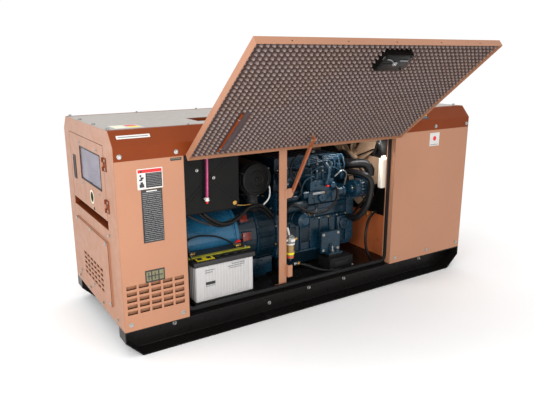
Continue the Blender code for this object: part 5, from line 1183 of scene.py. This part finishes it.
def make_engine_castings():
    piece = Shape()
    left = BLOCK_LEFT
    right = BLOCK_RIGHT
    face = BLOCK_FACE
    for k in range(7):
        x = left + 0.02 + k * 0.078
        piece.block((x, face - 0.01, 0.128), (x + 0.008, face + 0.001, 0.318), ENGINE, 0.003)
    piece.block((left + 0.004, face - 0.018, 0.318), (right - 0.064, face + 0.001, 0.334), ENGINE, 0.004)
    piece.block((left + 0.004, face - 0.012, 0.112), (right - 0.064, face + 0.001, 0.128), ENGINE, 0.004)
    piece.block((left + 0.15, face - 0.022, 0.385), (right - 0.064, face + 0.001, 0.42), ENGINE, 0.006)
    piece.block((left + 0.02, face - 0.008, 0.5), (right - 0.02, face + 0.001, 0.5195), ENGINE, 0.003)
    for k in range(15):
        x = left + 0.03 + k * 0.036
        piece.bolt((x, face - 0.018, 0.326 - 0.001 * (k % 2)), "-y", 0.0052,
                   (ZINC, ENGINE, BRASS, ENGINE)[k % 4])
    for k in range(12):
        piece.bolt((left + 0.04 + k * 0.042, face - 0.012, 0.12), "-y", 0.005, ENGINE)
    for x, z in ((0.326, 0.112), (0.444, 0.112), (0.326, 0.218), (0.444, 0.218)):
        piece.bolt((left + x, 0.1898, z), "-y", 0.0095)
    for low, high in (((0.075, 0.17), (0.15, 0.29)), ((0.18, 0.175), (0.262, 0.285))):
        piece.block((left + low[0], face - 0.006, low[1]), (left + high[0], face + 0.001, high[1]),
                    ENGINE_DARK, 0.004)
        for x in (low[0] + 0.01, high[0] - 0.01):
            for z in (low[1] + 0.01, high[1] - 0.01):
                piece.bolt((left + x, face - 0.006, z), "-y", 0.0042, ENGINE)
    ring = [(0, 0.04), (-0.03, 0.04), (-0.034, 0.036), (-0.034, 0.024), (-0.028, 0.02), (-0.01, 0.019),
            (-0.01, 0)]
    piece.lathe((left + 0.52, face, 0.262), "y", ring, ENGINE, 36)
    for k in range(4):
        a = math.tau * (k + 0.5) / 4
        piece.bolt((left + 0.52 + 0.047 * math.cos(a), face - 0.019, 0.262 + 0.047 * math.sin(a)), "-y",
                   0.0048, ENGINE)
    piece.block((left + 0.468, face - 0.02, 0.21), (left + 0.572, face + 0.001, 0.314), ENGINE, 0.012)
    for k in range(5):
        x = left + 0.01 + k * 0.118
        piece.lathe((x + 0.03, face + 0.001, 0.455), "-y",
                    [(0, 0.019), (0.004, 0.019), (0.006, 0.016), (0.004, 0.013), (0.002, 0)], ENGINE_DARK,
                    20)
    # head: injector towers, cover ribs and bolts
    for k in range(4):
        x = left + 0.115 + k * 0.115
        piece.rod((x, 0.3, 0.6), "z", 0.06, 0.0125, ENGINE, sides=16)
        piece.rod((x, 0.3, 0.655), "z", 0.016, 0.0085, STEEL, sides=6)
        piece.block((x - 0.022, 0.29, 0.632), (x + 0.022, 0.318, 0.64), ENGINE, 0.003)
    for k in range(9):
        piece.block((left + 0.065 + k * 0.05, 0.352, 0.7135), (left + 0.071 + k * 0.05, 0.528, 0.719),
                    ENGINE_DARK, 0.002)
        piece.bolt((left + 0.075 + k * 0.05, 0.3495, 0.6395), "-y", 0.0055,
                   ZINC if k % 3 == 0 else ENGINE)
    piece.lathe((left + 0.4, 0.44, 0.714), "z",
                [(0, 0.032), (0.012, 0.03), (0.02, 0.026), (0.022, 0.01), (0.022, 0)], PLASTIC, 28)
    piece.block((left + 0.02, 0.304, 0.565), (right - 0.02, 0.3115, 0.6), ENGINE, 0.002)
    piece.done("engine_castings", "body", angle=45)


def make_injection_gear():
    piece = Shape()
    left = BLOCK_LEFT
    face = GEAR_FACE
    pump = PUMP_LEFT
    # injection pump: delivery heads, governor cover, levers
    for k in range(4):
        x = pump + 0.045 + 0.045 * k
        piece.rod((x, face - 0.035, 0.6205), "z", 0.012, 0.0115, ENGINE, sides=6)
        piece.rod((x, face - 0.035, 0.6325), "z", 0.01, 0.006, STEEL, sides=12)
        piece.bolt((x + 0.016, face - 0.0655, 0.556), "-y", 0.0048, ENGINE)
        piece.bolt((x - 0.01, face - 0.0755, 0.48), "-y", 0.0052, ENGINE)
        piece.block((x - 0.003, face - 0.08, 0.448), (x + 0.003, face - 0.074, 0.512), ENGINE, 0.0015)
    piece.lathe((pump + 0.1, face - 0.075, 0.48), "-y",
                [(0, 0.03), (0.012, 0.03), (0.016, 0.026), (0.016, 0.01), (0.022, 0.008), (0.022, 0)],
                ENGINE, 28)
    piece.lathe((pump + 0.19, face - 0.066, 0.545), "-y",
                [(0, 0.024), (0.014, 0.022), (0.02, 0.014), (0.02, 0)], ENGINE, 24)
    piece.block((pump + 0.02, face - 0.093, 0.505), (pump + 0.11, face - 0.086, 0.52), STEEL, 0.002)
    piece.rod((pump + 0.105, face - 0.096, 0.5125), "y", 0.016, 0.006, BRASS, sides=12)
    piece.block((pump + 0.122, face - 0.1, 0.548), (pump + 0.142, face - 0.082, 0.553), LABEL_RED, 0.001)
    piece.rod((pump + 0.132, face - 0.099, 0.55), "y", 0.014, 0.0058, LABEL_RED, sides=14)
    piece.rod((pump + 0.132, face - 0.086, 0.55), "y", 0.024, 0.0072, ENGINE, sides=14)
    piece.tube([(pump + 0.132, face - 0.075, 0.56), (pump + 0.14, face - 0.085, 0.6),
                (pump + 0.15, face - 0.08, 0.65), (pump + 0.13, face - 0.06, 0.69)], 0.012, ENGINE, 14)
    piece.rod((pump + 0.28, face - 0.04, 0.49), "x", 0.02, 0.038, ENGINE, sides=28)
    for k in range(6):
        a = math.tau * k / 6
        piece.bolt((pump + 0.2795, *around((face - 0.04, 0.49), 0.029, a)), "-x", 0.0045, ENGINE)
    piece.tube([(pump + 0.055, face - 0.07, 0.6), (pump + 0.02, face - 0.085, 0.62),
                (pump - 0.03, face - 0.08, 0.6), (pump - 0.045, face - 0.06, 0.54),
                (pump - 0.04, face - 0.05, 0.5)], 0.005, ENGINE, 10)
    piece.tube([(pump + 0.2, face - 0.075, 0.6), (pump + 0.245, face - 0.088, 0.635),
                (pump + 0.29, face - 0.08, 0.61), (pump + 0.3, face - 0.06, 0.56),
                (pump + 0.302, face - 0.05, 0.53)], 0.0046, STEEL, 10)
    piece.tube([(pump + 0.03, face - 0.05, 0.64), (pump + 0.09, face - 0.065, 0.668),
                (pump + 0.17, face - 0.062, 0.664), (pump + 0.24, face - 0.05, 0.64),
                (pump + 0.3, face - 0.04, 0.6)], 0.004, ENGINE, 10)
    # delivery pipes to the injectors
    for k in range(4):
        x0 = pump + 0.045 + 0.045 * k
        x1 = left + 0.115 + k * 0.115
        rise = 0.664 + 0.01 * k
        piece.tube([(x0, face - 0.035, 0.64), (x0, face - 0.035, 0.668),
                    (x0 + 0.004 * (1 - k), face - 0.03, rise - 0.012),
                    (x0 + (x1 - x0) * 0.3, face - 0.016, rise),
                    (x0 + (x1 - x0) * 0.8, face + 0.02, rise + 0.002), (x1, face + 0.042, rise + 0.004),
                    (x1, face + 0.05, rise + 0.001), (x1, face + 0.05, 0.66)], 0.0042, ENGINE, 10)
    for k, x in enumerate((left + 0.36, left + 0.4, left + 0.44, left + 0.48)):
        piece.tube([(left + 0.1, face - 0.055 + 0.012 * k, 0.692 + 0.008 * k),
                    (left + 0.2, face - 0.058 + 0.012 * k, 0.698 + 0.008 * k),
                    (x - 0.03, face - 0.058 + 0.01 * k, 0.704 + 0.008 * k),
                    (x, face - 0.056 + 0.008 * k, 0.696 + 0.006 * k), (x + 0.006, face - 0.05, 0.66),
                    (x + 0.008, face - 0.03, 0.62), (x + 0.008, face + 0.01, 0.6)], 0.005, ENGINE, 10)
    piece.block((left + 0.19, face - 0.064, 0.686), (left + 0.205, face - 0.005, 0.728), ENGINE, 0.002)
    piece.block((left + 0.3, face - 0.064, 0.69), (left + 0.315, face - 0.005, 0.736), ENGINE, 0.002)
    piece.done("injection_gear", "body", angle=45)


def make_engine_fittings():
    """Starter motor, dipstick, sender units and brackets round the block."""
    piece = Shape()
    left = BLOCK_LEFT
    right = BLOCK_RIGHT
    face = GEAR_FACE
    piece.rod((left + 0.012, face - 0.052, 0.44), "x", 0.165, 0.036, ENGINE_DARK, sides=28)
    piece.rod((left + 0.03, face - 0.052, 0.494), "x", 0.085, 0.02, ENGINE_DARK, sides=24)
    piece.block((left + 0.004, face - 0.09, 0.385), (left + 0.02, face - 0.001, 0.52), ENGINE, 0.004)
    for z in (0.4, 0.505):
        piece.bolt((left + 0.0035, face - 0.06, z), "-x", 0.007)
    piece.bolt((left + 0.117, face - 0.052, 0.494), "x", 0.005, BRASS)
    piece.tube([(left + 0.125, face - 0.052, 0.494), (left + 0.15, face - 0.058, 0.53),
                (left + 0.13, face - 0.05, 0.6), (left + 0.1, face - 0.03, 0.66)], 0.0052, HOSE)
    piece.tube([(left + 0.285, face - 0.008, 0.34), (left + 0.29, face - 0.03, 0.4),
                (left + 0.28, face - 0.06, 0.435)], 0.0048, STEEL, 10)
    piece.lathe((left + 0.14, face - 0.118, 0.355), "-y",
                [(0, 0.0285), (0.0015, 0.0265), (0.003, 0.02), (0.0038, 0)], ENGINE, 40)
    piece.band((left + 0.14, face - 0.03, 0.355), "-y", 0.009, 0.0475, 0.0498, ENGINE, 40, 0.002)
    piece.rod((left + 0.14, face - 0.02, 0.355), "y", 0.02, 0.055, ENGINE, sides=32)
    piece.rod((left + 0.245, face - 0.022, 0.365), "y", 0.022, 0.013, BRASS, sides=6)
    piece.rod((left + 0.245, face - 0.038, 0.365), "y", 0.018, 0.009, PLASTIC, sides=14)
    for k, (x, z) in enumerate(((0.05, 0.6), (0.09, 0.57), (0.53, 0.58), (0.5, 0.63))):
        piece.block((left + x - 0.02, face + 0.01, z - 0.03), (left + x + 0.02, face + 0.058, z + 0.03),
                    ENGINE, 0.008)
        piece.bolt((left + x, face + 0.01, z), "-y", 0.007, ZINC if k % 2 else ENGINE)
    # lifting eye, thermostat housing and water pump bolts on the front end
    piece.block((right - 0.1, 0.33, 0.62), (right - 0.02, 0.4, 0.7), ENGINE, 0.012)
    piece.rod((right - 0.055, 0.335, 0.655), "-y", 0.055, 0.026, ENGINE, sides=24)
    piece.tube([(right - 0.055, 0.285, 0.655), (right - 0.05, 0.24, 0.655), (right - 0.02, 0.2, 0.66),
                (right + 0.03, 0.17, 0.655), (right + 0.055, 0.15, 0.62), (right + 0.056, 0.145, 0.58)],
               0.03, HOSE, 24)
    for k in range(9):
        a = math.tau * k / 9
        piece.bolt((right - 0.0002, *around(SHAFT, 0.12, a)), "x", 0.006, ENGINE)
    piece.done("engine_fittings", "body", angle=45)


def make_charging_alternator_shell():
    """Charging alternator: slotted shell, ears, fan behind the pulley."""
    piece = Shape()
    cx, cy, cz = 1.5786, 0.168, 0.505
    piece.lathe((cx - 0.002, cy, cz), "x",
                [(0, 0), (0, 0.03), (-0.014, 0.028), (-0.016, 0.012), (-0.016, 0)][::-1], ENGINE, 32)
    for k in range(16):
        a = math.tau * k / 16
        turn = spun((cx, cy, cz), a)
        piece.block((0.006, -0.0028, 0.0535), (0.04, 0.0028, 0.0575), ENGINE, 0.001, turn)
        piece.block((0.086, -0.0028, 0.0535), (0.118, 0.0028, 0.0575), ENGINE, 0.001, turn)
        piece.block((0.048, -0.0035, 0.054), (0.078, 0.0035, 0.0562), STEEL, 0.001, turn)
    for a in (60, 180, 300):
        turn = spun((cx, cy, cz), math.radians(a))
        piece.rod((0.004, 0, 0.06), "x", 0.116, 0.005, ENGINE, sides=10, matrix=turn)
    piece.block((cx + 0.01, cy + 0.03, cz - 0.07), (cx + 0.034, cy + 0.08, cz - 0.035), ENGINE, 0.004)
    piece.block((cx + 0.09, cy - 0.01, cz + 0.045), (cx + 0.104, cy + 0.085, cz + 0.075), ENGINE, 0.004)
    piece.rod((cx - 0.016, cy - 0.022, cz + 0.01), "x", 0.016, 0.006, BRASS, sides=6)
    piece.done("charging_alternator_shell", "body", angle=45)


make_engine_castings()
make_injection_gear()
make_engine_fittings()
make_charging_alternator_shell()


# ---- hoses and cables ----


def make_hoses_and_cables():
    piece = Shape()
    piece.tube([(0.52, 0.15, 0.505), (0.56, 0.148, 0.47), (0.62, 0.15, 0.432), (0.69, 0.155, 0.425),
                (0.76, 0.165, 0.452), (0.82, 0.18, 0.485), (0.9, 0.185, 0.488), (0.96, 0.2, 0.45),
                (1.01, 0.215, 0.4)], 0.0105, HOSE, 14)
    piece.tube([(0.5, 0.175, 0.508), (0.54, 0.17, 0.468), (0.61, 0.168, 0.418), (0.69, 0.172, 0.412),
                (0.77, 0.185, 0.445), (0.85, 0.195, 0.478), (0.93, 0.205, 0.452), (1.0, 0.225, 0.385)],
               0.0095, HOSE, 14)
    piece.tube([(0.44, 0.24, 0.5), (0.52, 0.225, 0.445), (0.62, 0.218, 0.405), (0.73, 0.225, 0.415),
                (0.8, 0.235, 0.44)], 0.007, WOVEN, 12)
    piece.tube([(1.04, 0.12, 0.285), (1.045, 0.125, 0.34), (1.05, 0.135, 0.42), (1.075, 0.14, 0.462),
                (1.12, 0.138, 0.468), (1.18, 0.125, 0.432), (1.26, 0.118, 0.402), (1.35, 0.118, 0.41),
                (1.42, 0.13, 0.45), (1.452, 0.15, 0.505), (1.455, 0.18, 0.54)], 0.0085, HOSE, 14)
    piece.tube([(1.2, 0.21, 0.56), (1.15, 0.19, 0.6), (1.12, 0.19, 0.66), (1.14, 0.2, 0.72),
                (1.2, 0.22, 0.755)], 0.006, HOSE, 12)
    piece.tube([(1.09, 0.2, 0.5), (1.1, 0.17, 0.55), (1.15, 0.16, 0.62), (1.19, 0.18, 0.68),
                (1.22, 0.23, 0.72)], 0.005, HOSE, 12)
    piece.tube([(0.93, 0.2, 0.48), (0.965, 0.19, 0.52), (0.97, 0.185, 0.57), (0.955, 0.18, 0.615)],
               0.0042, METER, 10)
    piece.tube([(0.7, 0.2, 0.52), (0.78, 0.19, 0.505), (0.86, 0.195, 0.498), (0.925, 0.2, 0.478)], 0.0036,
               BRASS, 10)
    piece.tube([(1.786, 0.15, 0.33), (1.745, 0.14, 0.315), (1.69, 0.12, 0.27), (1.662, 0.105, 0.19),
                (1.668, 0.1, 0.1), (1.7, 0.095, 0.03), (1.715, 0.095, 0.006)], 0.0088, HOSE, 14)
    piece.tube([(1.715, 0.078, 0.8), (1.725, 0.078, 0.76), (1.742, 0.08, 0.73), (1.76, 0.08, 0.712)],
               0.006, HOSE, 12)
    piece.tube([(1.19, 0.18, 0.066), (1.225, 0.15, 0.058), (1.275, 0.115, 0.036), (1.33, 0.095, 0.02),
                (1.39, 0.085, 0.012), (1.44, 0.08, 0.0105)], 0.0098, HOSE, 14)
    for x in (1.7, 1.745):
        piece.band((x, 0.15, 0.322), "x", 0.008, 0.01, 0.0115, BRASS, 16)
    piece.rod((1.15, 0.196, 0.0665), "x", 0.03, 0.0125, STEEL, sides=6)
    piece.rod((1.178, 0.19, 0.066), "x", 0.022, 0.0112, BRASS, sides=16)
    for k, x in enumerate((0.62, 0.76, 0.9)):
        piece.band((x, 0.152 + 0.02 * k, 0.43 + 0.028 * k), "x", 0.007, 0.0115, 0.0128, PLASTIC, 16)
    piece.done("hoses_and_cables", "body", angle=60)


def make_fuel_separator():
    """Fuel and water separator beside the post."""
    piece = Shape()
    x, y = 1.066, 0.112
    piece.block((1.008, 0.112, 0.262), (1.06, 0.118, 0.3), STEEL, 0.002)
    piece.rod((x, y, 0.248), "z", 0.04, 0.03, CASTING, sides=28, edge=0.004)
    piece.rod((x, y, 0.286), "z", 0.012, 0.018, CASTING, sides=20, edge=0.003)
    piece.rod((x + 0.024, y - 0.01, 0.27), "x", 0.02, 0.0085, BRASS, sides=6)
    piece.rod((x - 0.044, y - 0.01, 0.27), "x", 0.02, 0.0085, METER, sides=6)
    piece.block((x - 0.014, y - 0.036, 0.262), (x + 0.014, y - 0.024, 0.28), METER, 0.003)
    piece.lathe((x, y, 0.15), "z", [(0, 0), (0, 0.015), (0.004, 0.0235), (0.096, 0.0255), (0.098, 0)],
                AMBER, 32)
    piece.lathe((x, y, 0.178), "z", [(0, 0.025), (0.0005, 0.0262), (0.012, 0.0264), (0.0125, 0.025)],
                LABEL_YELLOW, 32)
    piece.lathe((x, y, 0.16), "z", [(0, 0.0235), (0.0005, 0.0254), (0.006, 0.0256), (0.0065, 0.0235)],
                LABEL_RED, 32)
    piece.band((x, y, 0.24), "z", 0.01, 0.025, 0.03, METER, 32)
    piece.rod((x, y, 0.132), "z", 0.02, 0.009, BATTERY_GREY, sides=14)
    piece.tube([(x - 0.005, y + 0.002, 0.29), (x - 0.01, y + 0.004, 0.32), (x - 0.018, y + 0.006, 0.345)],
               0.0075, METER, 12)
    piece.done("fuel_separator", "body", angle=45)


make_hoses_and_cables()
make_fuel_separator()


# ---- fan, guard, shroud and coolant tank ----
FAN_AXIS = (0.44, 0.63)


def make_fan():
    piece = Shape()
    hub = Vector((1.8156, *FAN_AXIS))
    for k in range(7):
        bm = bmesh.new()
        rows = []
        for i in range(13):
            share = i / 12
            radius = 0.05 + (0.308 - 0.05) * share
            half = 0.062 + 0.03 * math.sin(math.pi * min(1.0, share * 1.1) * 0.62)
            if share > 0.86:
                half *= 1 - 1.6 * (share - 0.86)
            twist = math.radians(34 - 16 * share)
            row = []
            for j in range(9):
                across = (j / 8 * 2 - 1) * half
                camber = 0.01 * (1 - (j / 8 * 2 - 1) ** 2)
                row.append((camber + across * math.sin(twist), across * math.cos(twist) + 0.018 * share,
                            radius))
            rows.append(row)
        top = [[bm.verts.new((x + 0.0015, y, z)) for x, y, z in row] for row in rows]
        under = [[bm.verts.new((x - 0.0015, y, z)) for x, y, z in row] for row in rows]
        for i in range(12):
            for j in range(8):
                bm.faces.new((top[i][j], top[i][j + 1], top[i + 1][j + 1], top[i + 1][j]))
                bm.faces.new((under[i][j], under[i + 1][j], under[i + 1][j + 1], under[i][j + 1]))
        loop = ([(0, j) for j in range(8)] + [(i, 8) for i in range(12)]
                + [(12, j) for j in range(8, 0, -1)] + [(i, 0) for i in range(12, 0, -1)])
        for a, b in zip(loop, loop[1:] + loop[:1]):
            bm.faces.new((top[a[0]][a[1]], under[a[0]][a[1]], under[b[0]][b[1]], top[b[0]][b[1]]))
        bmesh.ops.recalc_face_normals(bm, faces=bm.faces)
        turn = spun(hub, math.tau * k / 7) @ Matrix.Diagonal((0.72, 1, 1, 1))
        piece.take(bm, FAN_CREAM, turn)
        piece.block((-0.018, -0.004, 0.045), (-0.012, 0.004, 0.13), FAN_CREAM, 0.002, turn)
    piece.lathe((1.793, *FAN_AXIS), "x",
                [(0, 0), (0, 0.052), (0.004, 0.062), (0.042, 0.062), (0.046, 0.052), (0.046, 0)],
                FAN_CREAM, 44)
    piece.lathe((1.7935, *FAN_AXIS), "-x", [(0, 0), (0, 0.038), (0.003, 0.038), (0.0035, 0)], STEEL, 28)
    for k in range(6):
        a = math.tau * k / 6
        piece.bolt((1.7905, *around(FAN_AXIS, 0.03, a)), "-x", 0.0055)
    piece.rod((1.658, *FAN_AXIS), "x", 0.13, 0.015, STEEL, sides=24)
    piece.lathe((1.7186, *FAN_AXIS), "x",
                [(0, 0), (0, 0.07), (0.003, 0.07), (0.006, 0.065), (0.015, 0.065), (0.018, 0.07),
                 (0.021, 0.07), (0.021, 0)], BLACK, 44)
    piece.done("fan_blades", "fan", replaces=("fan",), angle=50)


def make_fan_guard():
    piece = Shape()
    for a in (100, 128, 156, 208, 236, 264, 20, -20):
        t = math.radians(a)
        inner = Vector((1.772, *around(FAN_AXIS, 0.11, t)))
        outer = Vector((1.784, *around(FAN_AXIS, 0.322, t)))
        piece.tube([inner, (inner + outer) / 2, outer], 0.0042, BLACK, 8, 3)
    for radius in (0.11, 0.18, 0.25, 0.318):
        ring = [(1.772 + 0.012 * (radius - 0.11) / 0.212, *around(FAN_AXIS, radius, math.tau * i / 48))
                for i in range(30, 43)]
        piece.tube(ring, 0.0028, BLACK, 8, 2)
    for a, b in (((1.757, 0.12, 0.835), (1.765, 0.1, 0.7)), ((1.757, 0.12, 0.835), (1.752, 0.165, 0.7))):
        middle = (Vector(a) + Vector(b)) / 2
        piece.tube([a, middle, b], 0.008, BLACK, 6, 3)
    for y, z in ((0.1, 0.95), (0.78, 0.95), (0.1, 0.31), (0.78, 0.31), (0.1, 0.63), (0.78, 0.63)):
        piece.bolt((1.8452, y, z), "-x", 0.008)
    piece.done("fan_guard", "body", angle=50)


def make_coolant_tank_moulding():
    piece = Shape()
    low, high = cad_box("coolant_tank", 0.0003)
    piece.block(low, high, TANK_WHITE, 0.01, segments=4)
    for z in (0.56, 0.645):
        piece.block((low.x + 0.004, low.y - 0.0018, z), (high.x - 0.004, low.y + 0.002, z + 0.006),
                    TANK_WHITE, 0.0015)
    piece.block((low.x - 0.0015, low.y + 0.008, low.z + 0.014),
                (low.x + 0.0025, high.y - 0.008, high.z - 0.014), TANK_WHITE, 0.0015)
    piece.rod((low.x + 0.026, low.y + 0.02, high.z - 0.002), "z", 0.018, 0.0145, TANK_WHITE, sides=28)
    piece.block((low.x + 0.06, low.y + 0.01, high.z - 0.001),
                (low.x + 0.085, low.y + 0.03, high.z + 0.008), ZINC, 0.002)
    piece.done("coolant_tank_moulding", "body", replaces=("coolant_tank",))


def make_engine_foot_details():
    """Engine foot: bracket bolt, rubber block layers, pedestal lip."""
    piece = Shape()
    left = BLOCK_LEFT
    piece.rod((left + 0.385, 0.172, 0.1), "z", 0.04, 0.0065, ZINC, sides=16)
    piece.rod((left + 0.385, 0.172, 0.1035), "z", 0.01, 0.013, ZINC, sides=6)
    piece.block((left + 0.325, 0.1495, 0.0755), (left + 0.455, 0.236, 0.0805), BLACK, 0.001)
    piece.block((left + 0.333, 0.1125, 0.064), (left + 0.502, 0.1155, 0.0745), RUBBER, 0.0015)
    # Recess in the foot drawn as a sheet of painted shade.
    piece.block((left + 0.362, 0.1135, 0.012), (left + 0.473, 0.1152, 0.048), HOLE_SHADE, 0.0005)
    piece.block((left + 0.318, 0.1, 0.0005), (left + 0.517, 0.116, 0.008), BLACK, 0.0015)
    for x in (left + 0.33, left + 0.505):
        piece.bolt((x, 0.108, 0.008), "z", 0.007)
    piece.outline([(left + 0.365, 0.103), (left + 0.405, 0.103), (left + 0.395, 0.15),
                   (left + 0.375, 0.15)], "y", 0.18, 0.19, ENGINE, 0.001)
    piece.done("engine_foot_details", "body")


make_fan()
make_fan_guard()
make_coolant_tank_moulding()
make_engine_foot_details()


# ---- skid ----


def make_skid_bolts():
    piece = Shape()
    for x, z, finish_of in ((0.915, -0.036, BRASS), (0.905, -0.095, ZINC), (1.196, -0.062, ZINC),
                            (1.474, -0.062, ZINC)):
        piece.bolt((x, 0.0908, z), "-y", 0.0115, finish_of, head=0.008)
    for x in (1.12, 1.385):
        # Holes in the skid drawn as discs of painted shade.
        piece.rod((x, 0.0895, -0.05), "y", 0.001, 0.0065, HOLE_SHADE, sides=16)
    for x in (0.3, 0.62, 1.23, 1.85, 2.16):
        for y, axis in ((0.0908, "-y"), (DEPTH - 0.0908, "y")):
            if x in (0.3, 2.16) or axis == "y":
                piece.bolt((x, y, -0.062), axis, 0.0115, head=0.008)
    piece.done("skid_bolts", "body")


def make_skid_welds():
    piece = Shape()
    for y, out in ((0.0912, -1), (DEPTH - 0.0912, 1)):
        piece.tube([(0.015, y, -0.008), (0.8, y, -0.0082), (1.6, y, -0.0078),
                    (LENGTH - 0.015, y, -0.008)], 0.0028, SKID, 8)
        piece.tube([(0.095, y, -0.14), (0.8, y, -0.1402), (1.6, y, -0.1398), (LENGTH - 0.105, y, -0.14)],
                   0.0028, SKID, 8)
    for x, lean in ((0.02, 1), (LENGTH - 0.02, -1)):
        piece.tube([(x - 0.01 * lean, 0.0885, -0.07), (x + 0.026 * lean, 0.0885, -0.1),
                    (x + 0.062 * lean, 0.0885, -0.132)], 0.0026, SKID, 8)
    piece.done("skid_welds", "body")


make_skid_bolts()
make_skid_welds()


# ---- filler pocket and roof ----


def make_fuel_cap_grip():
    piece = Shape()
    neck = Vector((0.6347, 0.2935, 0.942))
    piece.lathe(neck + Vector((0, 0, 0.028)), "z",
                [(0, 0.034), (0.0015, 0.033), (0.0022, 0.026), (0.001, 0.024), (0.001, 0)], ZINC, 36)
    piece.block(neck + Vector((-0.03, -0.004, 0.0285)), neck + Vector((0.03, 0.004, 0.0365)), ZINC, 0.002)
    for k in range(24):
        a = math.tau * k / 24
        turn = spun(neck, a, "Z")
        piece.block((0.0352, -0.0018, 0.004), (0.0372, 0.0018, 0.024), ZINC, 0.0006, turn)
    piece.done("fuel_cap_grip", "fuel_cap")


def make_filler_pocket_details():
    piece = Shape()
    chain = [(0.6, 0.262, 0.94), (0.585, 0.25, 0.9405), (0.57, 0.255, 0.9405), (0.56, 0.24, 0.9405),
             (0.552, 0.225, 0.941)]
    for place in smooth_path(chain, 4):
        piece.rod(place, "z", 0.0028, 0.0026, ZINC, sides=10, edge=0.001)
    for x in (0.541, 0.717):
        for y in (0.215, 0.372):
            piece.screw((x, y, 0.9382), "z", 0.0045)
    piece.done("filler_pocket_details", "body")


def make_exhaust_collar():
    piece = Shape()
    piece.lathe((1.5, 0.765, 0.9985), "z",
                [(0, 0.0365), (0.003, 0.052), (0.0045, 0.052), (0.005, 0.04), (0.005, 0.0365)], BLACK, 40)
    piece.done("exhaust_collar", "body")


def make_rear_lining():
    """Foam lining of the rear door, seen behind the engine."""
    piece = Shape()
    for k in range(3):
        piece.block((0.364 + 0.471 * k, DEPTH - 0.024, 0.02), (0.833 + 0.471 * k, DEPTH - 0.0045, 0.848),
                    LINING, 0.004)
    piece.done("rear_lining", "rear_door")


make_fuel_cap_grip()
make_filler_pocket_details()
make_exhaust_collar()
make_rear_lining()
